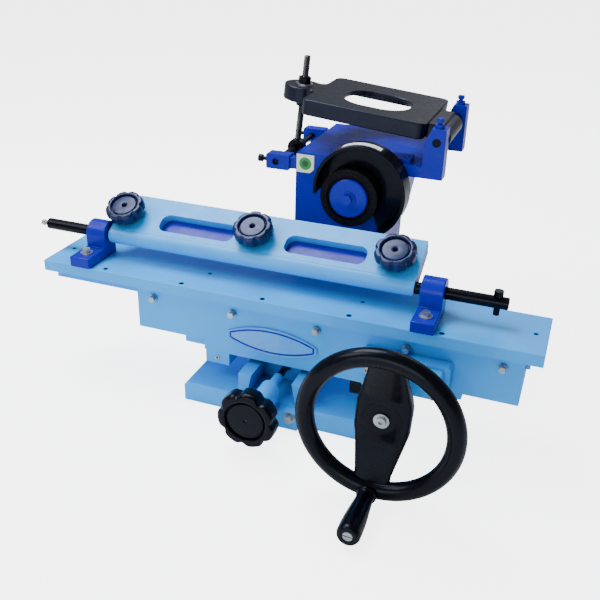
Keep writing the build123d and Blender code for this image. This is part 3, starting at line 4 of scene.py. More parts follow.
import bmesh
import bpy
import numpy as np
from mathutils import Matrix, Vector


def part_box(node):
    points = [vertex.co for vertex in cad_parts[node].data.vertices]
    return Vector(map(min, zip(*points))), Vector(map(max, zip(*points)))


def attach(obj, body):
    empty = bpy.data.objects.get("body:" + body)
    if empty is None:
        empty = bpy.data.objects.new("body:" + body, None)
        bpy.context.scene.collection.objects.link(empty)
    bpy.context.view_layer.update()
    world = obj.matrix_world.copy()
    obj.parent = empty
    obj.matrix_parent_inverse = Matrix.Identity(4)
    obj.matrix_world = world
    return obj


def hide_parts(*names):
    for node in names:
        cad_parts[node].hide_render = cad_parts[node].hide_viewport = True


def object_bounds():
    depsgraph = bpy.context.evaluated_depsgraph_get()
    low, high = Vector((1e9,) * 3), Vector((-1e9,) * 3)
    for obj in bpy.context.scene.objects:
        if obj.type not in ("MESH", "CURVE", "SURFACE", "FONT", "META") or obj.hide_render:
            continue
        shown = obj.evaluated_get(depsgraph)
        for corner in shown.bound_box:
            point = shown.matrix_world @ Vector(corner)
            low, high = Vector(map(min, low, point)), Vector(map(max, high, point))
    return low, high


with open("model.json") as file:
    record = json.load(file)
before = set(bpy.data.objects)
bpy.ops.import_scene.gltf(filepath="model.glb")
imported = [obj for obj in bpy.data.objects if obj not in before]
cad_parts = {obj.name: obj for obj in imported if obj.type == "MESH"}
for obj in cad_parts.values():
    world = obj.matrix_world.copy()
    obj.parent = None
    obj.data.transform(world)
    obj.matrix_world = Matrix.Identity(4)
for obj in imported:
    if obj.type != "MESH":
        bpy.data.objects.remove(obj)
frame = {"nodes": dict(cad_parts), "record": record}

CAD_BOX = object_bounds()
RECORD = frame["record"]
JOINTS = {j["name"]: j for j in RECORD["behaviour"]["joints"]}
MM = 0.001
WELD = 1e-6
WORLD_GLOW = (0.34, 4.0)
FLOOR_GLOW = (0.10, 4.0)
FLOOR_HALF = 6.0
FLOOR_DROP = 0.0004
LIGHTS = (
    ("key", (-1.3, -0.9, 1.8), (0.0, 0.0, 0.15), (1.1, 1.1), 22.0, (1.0, 0.99, 0.97)),
    ("top", (-0.62, 0.22, 1.75), (0.0, 0.0, 0.2), (0.9, 0.9), 38.0, (0.86, 0.92, 1.0)),
    ("front", (-0.1, -2.2, 0.62), (0.0, 0.0, 0.1), (1.8, 0.9), 19.0, (0.96, 0.98, 1.0)),
    ("back", (0.4, 1.8, 1.5), (0.0, 0.0, 0.2), (1.2, 0.8), 5.0, (1.0, 1.0, 1.0)),
)
NOISE_LOW, NOISE_HIGH = 0.3, 0.7
EDGE_ANGLE = 32.0
EDGE_STEPS = 2
FLAT_ANGLE = 0.6
EDGE_WIDTH = {
    "table": 0.0010, "saddle": 0.0012, "base": 0.0014, "brackets": 0.0012,
    "head": 0.0014, "column": 0.0016, "pinion_housing": 0.0010,
    "housing_cover": 0.0010, "motor_plate": 0.0016, "clamp_plate": 0.0012,
    "infeed_bearing": 0.0010, "guard": 0.0007, "lower_jaw": 0.0008,
    # stop_block is a small black block under the saddle belly beside the housing. It stands on
    # a dark patch that is at least partly shade, so its black is partly painted shadow.
    "hinge_bar": 0.0006, "keeper_block": 0.0010, "stop_block": 0.0010,
}
CLAMP_KNOB = {"reach": 17.3, "radius": 28.0, "thick": 18.0, "neck_r": 9.0, "lobes": 8}
KNOB_SIDES = 160
LOBE_DEPTH = 0.125
LOBE_FROM, LOBE_FULL = 0.70, 0.97
RIM_R, RIM_TUBE = 89.0, 11.0
HUB_THICK = 30.0


# ---------------------------------------------------------------- camera and studio
def camera():
    """Camera on the front right, looking a little down along the machine."""
    data = bpy.data.cameras.new("view")
    data.sensor_width = 36.0
    data.lens = 48.27
    data.clip_end = 20.0
    obj = bpy.data.objects.new("view", data)
    bpy.context.scene.collection.objects.link(obj)
    right = (0.93671, 0.34919, 0.02516)
    up = (-0.17791, 0.41286, 0.89325)
    back = (0.30153, -0.84119, 0.44886)
    place = (0.3428, -1.0368, 0.6426)
    obj.matrix_world = Matrix([[right[i], up[i], back[i], place[i]] for i in range(3)] +
                              [[0, 0, 0, 1]])
    bpy.context.scene.camera = obj


def softbox(name, place, aim, size, watts, colour):
    """Rectangular area light that faces a point."""
    data = bpy.data.lights.new(name, "AREA")
    data.shape = "RECTANGLE"
    data.size, data.size_y = size
    data.energy = watts
    data.color = colour
    obj = bpy.data.objects.new(name, data)
    bpy.context.scene.collection.objects.link(obj)
    way = np.subtract(place, aim)
    way = way / np.linalg.norm(way)
    side = np.cross((0.0, 0.0, 1.0), way)
    side = side / np.linalg.norm(side)
    rise = np.cross(way, side)
    obj.matrix_world = Matrix([[side[i], rise[i], way[i], place[i]] for i in range(3)] +
                              [[0, 0, 0, 1]])


def seen(tree, hidden, shown):
    """A strength that is higher where the camera looks straight at a thing."""
    ray = tree.nodes.new("ShaderNodeLightPath")
    return calc(tree, "MULTIPLY_ADD", ray.outputs["Is Camera Ray"], shown - hidden, hidden)


def studio():
    """White sweep of floor, white surroundings and four soft lights."""
    world = bpy.data.worlds.new("studio")
    world.use_nodes = True
    tree = world.node_tree
    background = tree.nodes["Background"]
    background.inputs["Color"].default_value = (0.90, 0.95, 1.0, 1)
    tree.links.new(seen(tree, *WORLD_GLOW), background.inputs["Strength"])
    bpy.context.scene.world = world
    for light in LIGHTS:
        softbox(*light)
    grid = np.zeros((2, 2, 3))
    grid[:, :, 0] = np.array([-FLOOR_HALF, FLOOR_HALF])[:, None]
    grid[:, :, 1] = np.array([-FLOOR_HALF, FLOOR_HALF])[None, :]
    grid[:, :, 2] = CAD_BOX[0][2] - FLOOR_DROP
    floor = surface("floor", grid, False, False)
    floor.data.materials.append(floor_finish())


# ---------------------------------------------------------------- finishes
def start(name):
    """New node material with its shader, and object coordinates."""
    mat = bpy.data.materials.new(name)
    mat.use_nodes = True
    tree = mat.node_tree
    shader = tree.nodes["Principled BSDF"]
    coord = tree.nodes.new("ShaderNodeTexCoord")
    return mat, tree, shader, coord.outputs["Object"]


def grain(tree, where, scale, detail=3.0, rough=0.5, stretch=None):
    """Noise of a given scale per metre; stretch squeezes it along the axes."""
    if stretch:
        mapping = tree.nodes.new("ShaderNodeMapping")
        mapping.inputs["Scale"].default_value = stretch
        tree.links.new(where, mapping.inputs["Vector"])
        where = mapping.outputs["Vector"]
    noise = tree.nodes.new("ShaderNodeTexNoise")
    noise.inputs["Scale"].default_value = scale
    noise.inputs["Detail"].default_value = detail
    noise.inputs["Roughness"].default_value = rough
    tree.links.new(where, noise.inputs["Vector"])
    return noise.outputs["Fac"]


def ramp(tree, fac, stops):
    """Colours spread over a value: stops are (position, colour)."""
    node = tree.nodes.new("ShaderNodeValToRGB")
    band = node.color_ramp
    band.elements[0].position, band.elements[0].color = stops[0]
    band.elements[1].position, band.elements[1].color = stops[-1]
    for at, colour in stops[1:-1]:
        band.elements.new(at).color = colour
    tree.links.new(fac, node.inputs["Fac"])
    return node.outputs["Color"]


def spread(tree, value, lo, hi):
    """Map the middle of a noise value's span onto a range."""
    node = tree.nodes.new("ShaderNodeMapRange")
    for key, val in (("From Min", NOISE_LOW), ("From Max", NOISE_HIGH),
                     ("To Min", lo), ("To Max", hi)):
        node.inputs[key].default_value = val
    tree.links.new(value, node.inputs["Value"])
    return node.outputs["Result"]


def bump(tree, shader, height, strength, distance, under=None):
    """Surface relief on the shader's normal."""
    node = tree.nodes.new("ShaderNodeBump")
    node.inputs["Strength"].default_value = strength
    node.inputs["Distance"].default_value = distance
    tree.links.new(height, node.inputs["Height"])
    if under is not None:
        tree.links.new(under, node.inputs["Normal"])
    tree.links.new(node.outputs["Normal"], shader.inputs["Normal"])
    return node.outputs["Normal"]


def shade(colour, k):
    """A colour lightened or darkened by a factor."""
    return (min(1.0, colour[0] * k), min(1.0, colour[1] * k), min(1.0, colour[2] * k), 1.0)


def mixed(tree, fac, a, b, mode="MIX"):
    """Blend of two colours, each a socket or a fixed colour."""
    node = tree.nodes.new("ShaderNodeMix")
    node.data_type = "RGBA"
    node.blend_type = mode
    for key, val in ((0, fac), (6, a), (7, b)):
        if isinstance(val, (tuple, float)):
            node.inputs[key].default_value = val
        else:
            tree.links.new(val, node.inputs[key])
    return node.outputs[2]


def corners(tree, reach):
    """Ambient-occlusion value that falls in tight corners; it is used to paint shade, and some
    grime, there.
    """
    node = tree.nodes.new("ShaderNodeAmbientOcclusion")
    node.inputs["Distance"].default_value = reach
    node.samples = 6
    return node.outputs["AO"]


def enamel(name, colour, rough, coat, peel, chips=None, corner_shade_and_grime=0.55, shine=0.30):
    """Brushed or sprayed enamel: soft clouds of tone, orange peel, painted shade with some
    grime darkening the corners, chips.
    """
    mat, tree, shader, where = start(name)
    tone = ramp(tree, grain(tree, where, 9.0, 4.0),
                [(0.30, shade(colour, 0.88)), (0.52, shade(colour, 1.0)),
                 (0.75, shade(colour, 1.10))])
    dust = ramp(tree, grain(tree, where, 900.0, 2.0),
                [(0.44, (0.965, 0.965, 0.965, 1)), (0.60, (1, 1, 1, 1))])
    tone = mixed(tree, 1.0, tone, dust, "MULTIPLY")
    # Painted shade: two ambient-occlusion layers darken corners, recesses and surfaces under
    # other parts; the tight layer also stands for grime, the wide layer is painted shade only.
    for reach, low, full in ((0.012, corner_shade_and_grime, 0.75), (0.045, 0.40, 0.38)):
        shade_and_grime = ramp(tree, corners(tree, reach),
                    [(0.12, (low, low, low, 1)), (full, (1, 1, 1, 1))])
        tone = mixed(tree, 1.0, tone, shade_and_grime, "MULTIPLY")
    if chips:
        flake = ramp(tree, grain(tree, where, 260.0, 6.0, 0.62),
                     [(0.735, (0, 0, 0, 1)), (0.750, (1, 1, 1, 1))])
        tone = mixed(tree, flake, tone, chips)
    tree.links.new(tone, shader.inputs["Base Color"])
    shader.inputs["Specular IOR Level"].default_value = shine
    shader.inputs["Coat Weight"].default_value = coat
    shader.inputs["Coat Roughness"].default_value = 0.12
    tree.links.new(spread(tree, grain(tree, where, 55.0, 5.0), rough - 0.07, rough + 0.10),
                   shader.inputs["Roughness"])
    low = bump(tree, shader, grain(tree, where, 60.0, 2.0), 0.18, 0.0015)
    bump(tree, shader, grain(tree, where, 650.0, 2.0), peel, 0.00025, low)
    return mat


def metal(name, colour, rough, stretch, scale, strength):
    """Bare metal with fine drawn or turned lines and dull patches."""
    mat, tree, shader, where = start(name)
    lines = grain(tree, where, scale, 3.0, 0.6, stretch)
    patch = grain(tree, where, 70.0, 4.0)
    tone = ramp(tree, patch, [(0.32, shade(colour, 0.70)), (0.68, shade(colour, 1.12))])
    tree.links.new(tone, shader.inputs["Base Color"])
    shader.inputs["Metallic"].default_value = 1.0
    tree.links.new(spread(tree, patch, rough - 0.06, rough + 0.14), shader.inputs["Roughness"])
    bump(tree, shader, lines, strength, 0.0002)
    return mat


def moulded(name, colour, rough, sheen_tone, shine=0.22):
    """Gloss black moulding or enamel with faint scuffs and patches of painted cool sheen in
    the base colour.
    """
    mat, tree, shader, where = start(name)
    # Painted sheen: the sheen_tone stop paints patches of cool reflection into the base
    # colour.
    tone = ramp(tree, grain(tree, where, 30.0, 5.0),
                [(0.35, shade(colour, 0.7)), (0.62, shade(colour, 1.2)),
                 (0.80, shade(sheen_tone, 1.0))])
    tree.links.new(tone, shader.inputs["Base Color"])
    scuff = grain(tree, where, 120.0, 6.0, 0.65, (1.0, 3.0, 1.0))
    tree.links.new(spread(tree, scuff, rough - 0.08, rough + 0.14), shader.inputs["Roughness"])
    shader.inputs["Specular IOR Level"].default_value = shine
    shader.inputs["Specular Tint"].default_value = (0.55, 0.66, 1.0, 1.0)
    shader.inputs["Coat Weight"].default_value = 0.10
    shader.inputs["Coat Roughness"].default_value = 0.10
    bump(tree, shader, grain(tree, where, 520.0, 2.0), 0.22, 0.0003)
    return mat


def abrasive():
    """Bonded grit: sharp dark grains with bright flecks."""
    mat, tree, shader, where = start("grit")
    cells = tree.nodes.new("ShaderNodeTexVoronoi")
    cells.inputs["Scale"].default_value = 1400.0
    tree.links.new(where, cells.inputs["Vector"])
    tone = ramp(tree, cells.outputs["Color"],
                [(0.15, (0.001, 0.001, 0.002, 1)), (0.80, (0.005, 0.005, 0.008, 1)),
                 (0.96, (0.03, 0.03, 0.04, 1))])
    tree.links.new(tone, shader.inputs["Base Color"])
    shader.inputs["Specular IOR Level"].default_value = 0.12
    tree.links.new(spread(tree, grain(tree, where, 200.0), 0.55, 0.8),
                   shader.inputs["Roughness"])
    bump(tree, shader, cells.outputs["Distance"], 0.5, 0.0004)
    return mat


def floor_finish():
    """Pale matt studio floor with a trace of mottling."""
    mat, tree, shader, where = start("floor")
    tone = ramp(tree, grain(tree, where, 3.0, 4.0),
                [(0.3, (0.92, 0.92, 0.93, 1)), (0.7, (0.95, 0.95, 0.95, 1))])
    tree.links.new(tone, shader.inputs["Base Color"])
    shader.inputs["Emission Color"].default_value = (1.0, 1.0, 1.0, 1.0)
    tree.links.new(seen(tree, *FLOOR_GLOW), shader.inputs["Emission Strength"])
    tree.links.new(spread(tree, grain(tree, where, 14.0), 0.60, 0.72),
                   shader.inputs["Roughness"])
    bump(tree, shader, grain(tree, where, 300.0), 0.03, 0.0004)
    return mat


def separate(tree, where):
    """X, Y and Z of a place."""
    node = tree.nodes.new("ShaderNodeSeparateXYZ")
    tree.links.new(where, node.inputs["Vector"])
    return node.outputs


def calc(tree, op, a, b=0.0, c=0.0):
    """One sum on sockets or numbers."""
    node = tree.nodes.new("ShaderNodeMath")
    node.operation = op
    for key, val in enumerate((a, b, c)):
        if isinstance(val, (int, float)):
            node.inputs[key].default_value = val
        else:
            tree.links.new(val, node.inputs[key])
    return node.outputs[0]


def round_from(tree, where, x, z):
    """Distance from a point in the XZ plane."""
    axes = separate(tree, where)
    dx = calc(tree, "SUBTRACT", axes[0], x)
    dz = calc(tree, "SUBTRACT", axes[2], z)
    return calc(tree, "SQRT", calc(tree, "ADD", calc(tree, "MULTIPLY", dx, dx),
                                   calc(tree, "MULTIPLY", dz, dz)))


def sticker_finish(node):
    """Pale label stock with a plain green round mark, darker at its heart."""
    lo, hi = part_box(node)
    mat, tree, shader, where = start("label_stock_green")
    far = round_from(tree, where, (lo[0] + hi[0]) / 2, (lo[2] + hi[2]) / 2)
    wide = (hi[0] - lo[0]) / 2
    stops = [(0.0, (0.004, 0.07, 0.02, 1)), (0.34, (0.006, 0.10, 0.03, 1)),
             (0.40, (0.012, 0.30, 0.05, 1)), (0.68, (0.012, 0.32, 0.05, 1)),
             (0.72, (0.86, 1.0, 0.72, 1))]
    tone = ramp(tree, calc(tree, "DIVIDE", far, wide), stops)
    fade = ramp(tree, grain(tree, where, 420.0, 4.0),
                [(0.3, (0.9, 0.9, 0.9, 1)), (0.7, (1, 1, 1, 1))])
    tree.links.new(mixed(tree, 1.0, tone, fade, "MULTIPLY"), shader.inputs["Base Color"])
    tree.links.new(spread(tree, grain(tree, where, 90.0), 0.32, 0.5),
                   shader.inputs["Roughness"])
    bump(tree, shader, grain(tree, where, 500.0), 0.08, 0.0001)
    return mat


def paper():
    """Blank pale label stock."""
    mat, tree, shader, where = start("label_stock")
    tone = ramp(tree, grain(tree, where, 160.0, 5.0),
                [(0.3, (0.86, 0.87, 0.96, 1)), (0.6, (0.97, 0.97, 1.0, 1))])
    tree.links.new(tone, shader.inputs["Base Color"])
    tree.links.new(spread(tree, grain(tree, where, 90.0), 0.35, 0.5),
                   shader.inputs["Roughness"])
    bump(tree, shader, grain(tree, where, 500.0), 0.08, 0.0001)
    return mat


LIGHT = (0.030, 0.40, 1.0)
ROYAL = (0.0004, 0.006, 0.40)
BLACK = (0.0006, 0.0006, 0.0014)
# Knob black with a blue cast painted in: a painted reflection of the sky on the tilted knob
# faces.
KNOB_BLACK_AND_PAINTED_SHEEN = (0.007, 0.012, 0.060)
FINISH = {
    "light_paint": enamel("light_blue_enamel", LIGHT, 0.40, 0.10, 0.16,
                          (0.03, 0.16, 0.36, 1)),
    "blue_paint": enamel("royal_blue_enamel", ROYAL, 0.30, 0.08, 0.20,
                         (0.001, 0.004, 0.10, 1), 0.4, 0.18),
    "black_gloss": moulded("black_gloss", BLACK, 0.30, (0.001, 0.001, 0.004), 0.13),
    "zinc": metal("zinc_plate", (0.46, 0.49, 0.52), 0.34, (1, 1, 1), 900.0, 0.12),
    "steel": metal("turned_steel", (0.33, 0.34, 0.36), 0.30, (1, 40, 1), 60.0, 0.25),
    "badge": enamel("badge_plate", (0.08, 0.40, 0.98), 0.30, 0.3, 0.10),
    "label": paper(),
    "bronze": metal("bronze", (0.52, 0.33, 0.12), 0.34, (1, 30, 1), 60.0, 0.25),
    "abrasive": abrasive(),
}
# Knob faces: black with a painted bluish sheen in the base colour and sheen patches.
KNOB_FACE = moulded("knob_black_painted_sheen", KNOB_BLACK_AND_PAINTED_SHEEN, 0.28, (0.012, 0.02, 0.09), 0.35)
OILED = metal("oiled_steel", (0.105, 0.10, 0.105), 0.36, (1, 1, 1), 500.0, 0.2)
SATIN = moulded("satin_black", (0.002, 0.002, 0.006), 0.36, (0.005, 0.005, 0.014), 0.30)
OWN_FINISH = {"sticker": sticker_finish("sticker"), "infeed_screw": OILED}
SLOT_OF = {s["node"]: s["material_slot"] for s in RECORD["subparts"]}
BODY_OF = {n: b for b, group in RECORD["behaviour"]["bodies"].items() for n in group}


# ---------------------------------------------------------------- surfaces
def surface(name, grid, wrap_u, wrap_v):
    """Mesh over a grid of points, u down the rows and v along them; wraps join the ends."""
    rows, cols = grid.shape[:2]
    u = np.arange(rows if wrap_u else rows - 1)
    v = np.arange(cols if wrap_v else cols - 1)
    i, j = np.meshgrid(u, v, indexing="ij")
    i1, j1 = (i + 1) % rows, (j + 1) % cols
    quads = np.stack([i * cols + j, i1 * cols + j, i1 * cols + j1, i * cols + j1], -1)
    mesh = bpy.data.meshes.new(name)
    mesh.from_pydata(grid.reshape(-1, 3).tolist(), [], quads.reshape(-1, 4).tolist())
    work = bmesh.new()
    work.from_mesh(mesh)
    bmesh.ops.remove_doubles(work, verts=work.verts, dist=WELD)
    bmesh.ops.recalc_face_normals(work, faces=work.faces)
    work.to_mesh(mesh)
    work.free()
    obj = bpy.data.objects.new(name, mesh)
    bpy.context.scene.collection.objects.link(obj)
    return obj


def soften(obj, degrees=34.0):
    """Smooth shading with creases kept where faces meet sharply."""
    mesh = obj.data
    mesh.shade_smooth()
    mesh.set_sharp_from_angle(angle=math.radians(degrees))


def fit(obj, body, slot, *nodes):
    """Give a piece its finish, its body and the nodes that it stands for."""
    obj.data.materials.clear()
    obj.data.materials.append(FINISH[slot])
    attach(obj, body)
    if nodes:
        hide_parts(*nodes)
    return obj


def basis(axis):
    """Three unit vectors: two across an axis, the first of them level, and the axis."""
    w = np.asarray(axis, float)
    w = w / np.linalg.norm(w)
    a = np.cross((0.0, 0.0, 1.0), w)
    if np.linalg.norm(a) < WELD:
        a = np.cross((0.0, 1.0, 0.0), w)
    a = a / np.linalg.norm(a)
    return np.stack([a, np.cross(w, a), w])


def put(local, origin, frame3):
    """Local points turned onto three axes and moved to an origin."""
    return np.asarray(origin, float) + local @ frame3


def rounded(points, radius, steps=5):
    """A profile whose inner corners are replaced by short curves: each corner P becomes
    the quadratic curve (1-t)^2 A + 2t(1-t) P + t^2 B, A and B a radius away on each side."""
    pts = np.asarray(points, float)
    before, here, after = pts[:-2], pts[1:-1], pts[2:]
    la = np.linalg.norm(before - here, axis=1, keepdims=True)
    lb = np.linalg.norm(after - here, axis=1, keepdims=True)
    cut = np.minimum(radius, np.minimum(la, lb) * 0.45)
    a = here + (before - here) / la * cut
    b = here + (after - here) / lb * cut
    t = np.linspace(0.0, 1.0, steps)[None, :, None]
    arc = (1 - t) ** 2 * a[:, None] + 2 * t * (1 - t) * here[:, None] + t ** 2 * b[:, None]
    return np.concatenate([pts[:1], arc.reshape(-1, 2), pts[-1:]])


def turned_grid(profile, sides=96, lobes=0, depth=0.0, from_r=0.0, full_r=1.0):
    """Profile (r, h) carried round an axis: x = q r cos a, y = q r sin a, z = h. Where
    lobes are asked for, q = 1 - depth w(r) n(a); w rises from 0 at from_r to 1 at full_r,
    and n(a) = ((1 + cos(lobes a)) / 2)^4 makes rounded scallops."""
    profile = np.asarray(profile, float)
    a = np.linspace(0.0, 2 * np.pi, sides, endpoint=False)
    r, h = profile[:, :1], profile[:, 1:]
    q = np.ones((len(profile), sides))
    if lobes:
        w = np.clip((r - from_r) / (full_r - from_r), 0.0, 1.0)
        q = 1.0 - depth * w * ((1 + np.cos(lobes * a)) / 2)[None, :] ** 4
    return np.stack([q * r * np.cos(a), q * r * np.sin(a), h + 0 * q], -1)


def round_copy(node, width):
    """A merged copy of a CAD node with small rounded edges."""
    source = frame["nodes"][node]
    obj = bpy.data.objects.new(node + ".edged", source.data.copy())
    bpy.context.scene.collection.objects.link(obj)
    work = bmesh.new()
    work.from_mesh(obj.data)
    bmesh.ops.remove_doubles(work, verts=work.verts, dist=WELD)
    bmesh.ops.dissolve_limit(work, angle_limit=math.radians(FLAT_ANGLE), verts=work.verts,
                             edges=work.edges)
    bmesh.ops.recalc_face_normals(work, faces=work.faces)
    work.to_mesh(obj.data)
    work.free()
    if obj.data.has_custom_normals:
        bpy.context.view_layer.objects.active = obj
        bpy.ops.mesh.customdata_custom_splitnormals_clear()
    soften(obj, EDGE_ANGLE)
    mod = obj.modifiers.new("edge", "BEVEL")
    mod.width = width
    mod.segments = EDGE_STEPS
    mod.limit_method = "ANGLE"
    mod.angle_limit = math.radians(EDGE_ANGLE)
    mod.use_clamp_overlap = True
    return fit(obj, BODY_OF[node], SLOT_OF[node], node)


# ---------------------------------------------------------------- knobs and wheels
def star_knob(name, joint, node, reach, radius, thick, neck_r, back, lobes, phase, eye=0.11):
    """Lobed moulded knob: rounded rim, dished ring, raised centre disc with a small hole.
    A profile turned round the joint's axis, its radius drawn in at each scallop."""
    origin = np.array(JOINTS[joint]["pos_m"]) / MM
    axis = np.array(JOINTS[joint]["axis"]) * back
    three = basis(axis)
    spin = np.array([[math.cos(phase), math.sin(phase), 0],
                     [-math.sin(phase), math.cos(phase), 0], [0, 0, 1]])
    r, low, top = radius, reach, reach + thick
    profile = [(0.0, low - 4.9), (neck_r, low - 4.9), (neck_r + 1.0, low - 0.6),
               (0.72 * r, low + 0.4), (r * 0.93, low + 1.4), (r, low + 4.5),
               (r, top - 4.0), (0.93 * r, top - 0.4), (0.77 * r, top),
               (0.71 * r, top - 0.5), (0.69 * r, top - 5.4), (0.65 * r, top - 5.6),
               (0.63 * r, top - 2.6), (0.59 * r, top - 1.9), (eye * r + 1.6, top - 1.7),
               (eye * r, top - 2.4), (eye * r, top - 8.0), (0.0, top - 8.2)]
    grid = turned_grid(rounded(profile, 1.9, 4), KNOB_SIDES, lobes, LOBE_DEPTH,
                       LOBE_FROM * r, LOBE_FULL * r)
    obj = surface(name, put(grid @ spin, origin, three) * MM, False, True)
    soften(obj, 50.0)
    return fit(obj, BODY_OF[node], "black_gloss", node)


def knobs():
    """Three clamp knobs and the larger infeed knob."""
    lo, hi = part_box("infeed_knob")
    for k, side in enumerate(("left", "middle", "right")):
        knob = star_knob(f"clamp_knob.{side}", f"knob_turn_{side}", f"clamp_knob_{side}",
                         back=1, phase=0.2 + 0.35 * k, **CLAMP_KNOB)
        knob.data.materials[0] = KNOB_FACE
    middle = JOINTS["infeed_turn"]["pos_m"][1]
    star_knob("feed_knob", "infeed_turn", "infeed_knob", reach=(middle - hi[1]) / MM,
              radius=(hi[2] - lo[2]) / MM / 2, thick=(hi[1] - lo[1]) / MM, neck_r=14.0,
              back=-1, lobes=7, phase=0.1, eye=0.04)


def wheel_frame():
    """Pinion axis point and the wheel's own axes: across, up the spokes, to the front."""
    x, _, z = np.array(JOINTS["handwheel_turn"]["pos_m"]) / MM
    gx, _, gz = np.array(JOINTS["grip_spin"]["pos_m"]) / MM
    a = math.atan2(x - gx, z - gz)
    across = np.array([math.cos(a), 0.0, -math.sin(a)])
    up = np.array([math.sin(a), 0.0, math.cos(a)])
    return np.array([x, 0.0, z]), np.stack([across, up, np.array([0.0, 1.0, 0.0])])


def handwheel():
    """Dished wheel. The rim is a ring: x = (R + p cos b) cos a, z = (R + p cos b) sin a,
    y = q sin b. The web runs from rim to rim: at height h its section is a squared oval of
    half width w(h) and half thickness d(h), x = w k cos b and y = m + d k sin b with
    k = (|cos b|^5 + |sin b|^5)^(-1/5), its middle m carried forward by the dish, flat
    over the hub and then straight out to the rim. The hub is a turned profile."""
    origin, three = wheel_frame()
    lo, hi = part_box("handwheel")
    rim_y = lo[1] / MM + RIM_TUBE
    a = np.linspace(0, 2 * np.pi, 144, endpoint=False)[:, None]
    b = np.linspace(0, 2 * np.pi, 32, endpoint=False)[None, :]
    ring = RIM_R + (RIM_TUBE + 0.3) * np.cos(b)
    grid = np.stack([ring * np.cos(a), ring * np.sin(a),
                     rim_y + RIM_TUBE * np.sin(b) + 0 * a], -1)
    rim = surface("wheel_rim", put(grid, origin, three) * MM, True, True)
    soften(rim, 80.0)
    fit(rim, "table_drive", "black_gloss", "handwheel")

    hub_front = hi[1] / MM - HUB_THICK
    h = np.concatenate([np.linspace(-90, -34, 15), np.linspace(-32, 32, 17),
                        np.linspace(34, 90, 15)])[:, None]
    share = np.clip((np.abs(h) - 30.0) / 58.0, 0.0, 1.0)
    bend = np.clip((np.abs(h) - 27.0) / 6.0, 0.0, 1.0)
    slope = share + 0.006 * bend * (1 - bend)
    wide = 33.0 - 14.0 * np.clip((np.abs(h) - 18.0) / 66.0, 0.0, 1.0)
    wide = wide + 7.0 * np.clip((np.abs(h) - 68.0) / 20.0, 0.0, 1.0) ** 2
    half = 10.0 - 4.5 * share
    middle = hub_front + 10.0 - slope * (hub_front + 10.0 - rim_y)
    b = np.linspace(0, 2 * np.pi, 48, endpoint=False)[None, :]
    square = (np.abs(np.cos(b)) ** 5 + np.abs(np.sin(b)) ** 5) ** (-1 / 5)
    grid = np.stack([wide * square * np.cos(b), h + 0 * b,
                     middle + half * square * np.sin(b)], -1)
    web = surface("wheel_web", put(grid, origin, three) * MM, False, True)
    soften(web, 40.0)
    fit(web, "table_drive", "black_gloss")

    profile = [(10.5, hub_front + 1.2), (11.2, hub_front - 0.2), (23.0, hub_front - 0.4),
               (25.0, hub_front + 2.0), (25.0, hub_front + 20.0), (24.0, hub_front + 21.5),
               (21.0, hub_front + 29.0), (20.0, hub_front + 30.0), (8.1, hub_front + 30.0),
               (8.1, hub_front + 1.2), (10.5, hub_front + 1.2)]
    grid = turned_grid(rounded(profile, 1.0, 4), 96)
    hub = surface("wheel_hub", put(grid, origin, three) * MM, False, True)
    soften(hub, 40.0)
    fit(hub, "table_drive", "black_gloss")


def grip():
    """Revolving handle: a turned profile with a collar at the root, a slim waist, a gentle
    swell towards the free end, r = 10.2 + 3.8 sin(0.52 pi s)^1.3 with s from 0 at the root
    to 1, and a recess for the end screw."""
    x, _, z = np.array(JOINTS["grip_spin"]["pos_m"]) / MM
    lo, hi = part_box("grip")
    y0, y1 = lo[1] / MM, hi[1] / MM
    length = y1 - y0
    s = np.linspace(0.0, 1.0, 22)
    swell = 10.2 + 3.8 * np.sin(np.pi * s * 0.52) ** 1.3
    body = np.stack([swell, y1 - 9.0 - s * (length - 18.0)], -1)
    start_ring = [(4.4, y1), (11.0, y1), (12.4, y1 - 1.6), (12.4, y1 - 4.6), (10.4, y1 - 6.4)]
    end_ring = [(13.9, y0 + 5.0), (12.6, y0 + 1.4), (11.0, y0 + 0.1), (7.2, y0 + 0.1),
                (6.6, y0 + 0.8), (6.6, y0 + 3.8), (4.4, y0 + 3.8), (4.4, y1)]
    profile = rounded(np.concatenate([start_ring, body, end_ring]), 0.9, 3)
    grid = turned_grid(profile, 72)
    three = np.stack([[1.0, 0, 0], [0, 0, 1.0], [0, 1.0, 0]])
    obj = surface("grip_handle", put(grid, (x, 0.0, z), three) * MM, False, True)
    soften(obj, 40.0)
    fit(obj, "wheel_grip", "black_gloss", "grip")


# ---------------------------------------------------------------- trim and threads
def lens(half, rise, cut, steps=40):
    """Closed (x, z) outline of two equal arcs, z = sqrt(R^2 - x^2) - (R - rise) above and
    its mirror below, R = (half^2 + rise^2) / (2 rise), cut square at x = +-cut."""
    radius = (half * half + rise * rise) / (2 * rise)
    x = np.linspace(-cut, cut, steps)
    z = np.sqrt(radius * radius - x * x) - (radius - rise)
    top = np.stack([x, z], -1)
    return np.concatenate([top, top[::-1] * (1, -1)])


def bead(name, outline, y, radius, slot):
    """Bead along a closed (x, z) outline at one depth: p + r n cos b + 0.6 r y sin b, n
    being the outline's normal and y the depth axis."""
    ahead = np.roll(outline, -1, 0) - np.roll(outline, 1, 0)
    ahead = ahead / np.linalg.norm(ahead, axis=1, keepdims=True)
    across = np.stack([ahead[:, 1], -ahead[:, 0]], -1)
    b = np.linspace(0.0, 2 * np.pi, 12, endpoint=False)
    grid = np.zeros((len(outline), len(b), 3))
    grid[:, :, 0] = outline[:, :1] + radius * across[:, :1] * np.cos(b)
    grid[:, :, 2] = outline[:, 1:] + radius * across[:, 1:] * np.cos(b)
    grid[:, :, 1] = y + 0.6 * radius * np.sin(b)
    obj = surface(name, grid * MM, True, True)
    soften(obj, 60.0)
    return fit(obj, "cross_slide", slot)


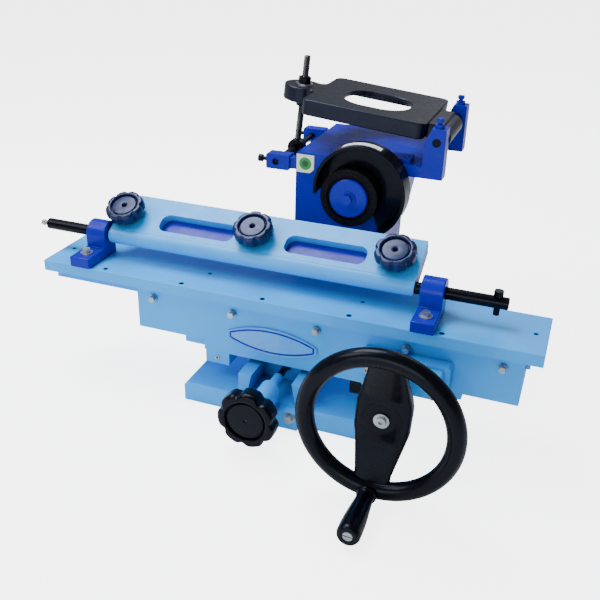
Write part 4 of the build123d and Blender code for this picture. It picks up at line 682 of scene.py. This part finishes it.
def badge_trim():
    """Dark outline and bright border on the badge's face."""
    lo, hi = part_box("badge")
    middle = np.array([lo[0] + hi[0], lo[2] + hi[2]]) / 2 / MM
    half = (hi[0] - lo[0]) / MM / 2
    rise = (hi[2] - lo[2]) / MM / 2
    face = lo[1] / MM
    bead("badge_border", lens(half + 7.0, rise - 0.8, half - 1.0) + middle, face, 1.0, "badge")
    bead("badge_outline", lens(half + 3.0, rise - 4.2, half - 4.6) + middle, face + 0.1, 1.3,
         "blue_paint")


def thread_grid(radius, depth, pitch, h0, h1, sides=40):
    """Screw thread on an axis: r = (R - depth t(u)) (0.72 + 0.28 f), u = h / pitch -
    a / 2 pi, t = (1 - cos 2 pi u) / 2, and f falls from 1 to 0 over the last turn, which
    tapers the tip. A row of points on the axis closes each end."""
    h = np.arange(h0, h1 + 1e-6, pitch / 6)[:, None]
    a = np.linspace(0.0, 2 * np.pi, sides, endpoint=False)[None, :]
    wave = 0.5 - 0.5 * np.cos(2 * np.pi * (h / pitch - a / (2 * np.pi)))
    fade = np.clip((h1 - h) / pitch, 0.0, 1.0)
    r = (radius - depth * wave) * (0.72 + 0.28 * fade)
    grid = np.stack([r * np.cos(a), r * np.sin(a), h + 0 * a], -1)
    cap = np.zeros((1, sides, 3))
    cap[:, :, 2] = h1
    base = np.zeros((1, sides, 3))
    base[:, :, 2] = h0
    return np.concatenate([base, grid, cap])


def eye_rod():
    """Threaded adjusting rod, and the turned eye that holds it on the left pin."""
    nut = JOINTS["rod_nut_turn_upper"]
    origin = np.array(JOINTS["rod_lean"]["pos_m"]) / MM
    axis = np.array(nut["axis"])
    top = (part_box("eye_rod")[1][2] / MM - origin[2]) / axis[2] - 0.6
    three = basis(axis)
    rod = surface("adjusting_rod", put(thread_grid(5.0, 0.65, 1.6, 9.0, top), origin, three)
                  * MM, False, True)
    soften(rod, 60.0)
    fit(rod, "rod", "black_gloss", "eye_rod")
    rod.data.materials[0] = OILED
    profile = [(5.1, -9.0), (11.6, -9.0), (13.0, -7.6), (13.0, 7.6), (11.6, 9.0), (5.1, 9.0),
               (5.1, -9.0)]
    across = np.stack([[1.0, 0, 0], [0, 0, 1.0], [0, 1.0, 0]])
    eye = surface("rod_eye", put(turned_grid(rounded(profile, 0.8, 4), 64), origin, across)
                  * MM, False, True)
    soften(eye, 40.0)
    fit(eye, "rod", "black_gloss")


def main():
    """Build the studio, the finishes and the detailed pieces."""
    camera()
    studio()
    for node, obj in frame["nodes"].items():
        finish = OWN_FINISH.get(node, FINISH[SLOT_OF[node]])
        obj.data.materials.clear()
        obj.data.materials.append(finish)
    knobs()
    handwheel()
    grip()
    badge_trim()
    eye_rod()
    for node, width in EDGE_WIDTH.items():
        copy = round_copy(node, width)
        if node == "motor_plate":
            copy.data.materials[0] = SATIN


main()
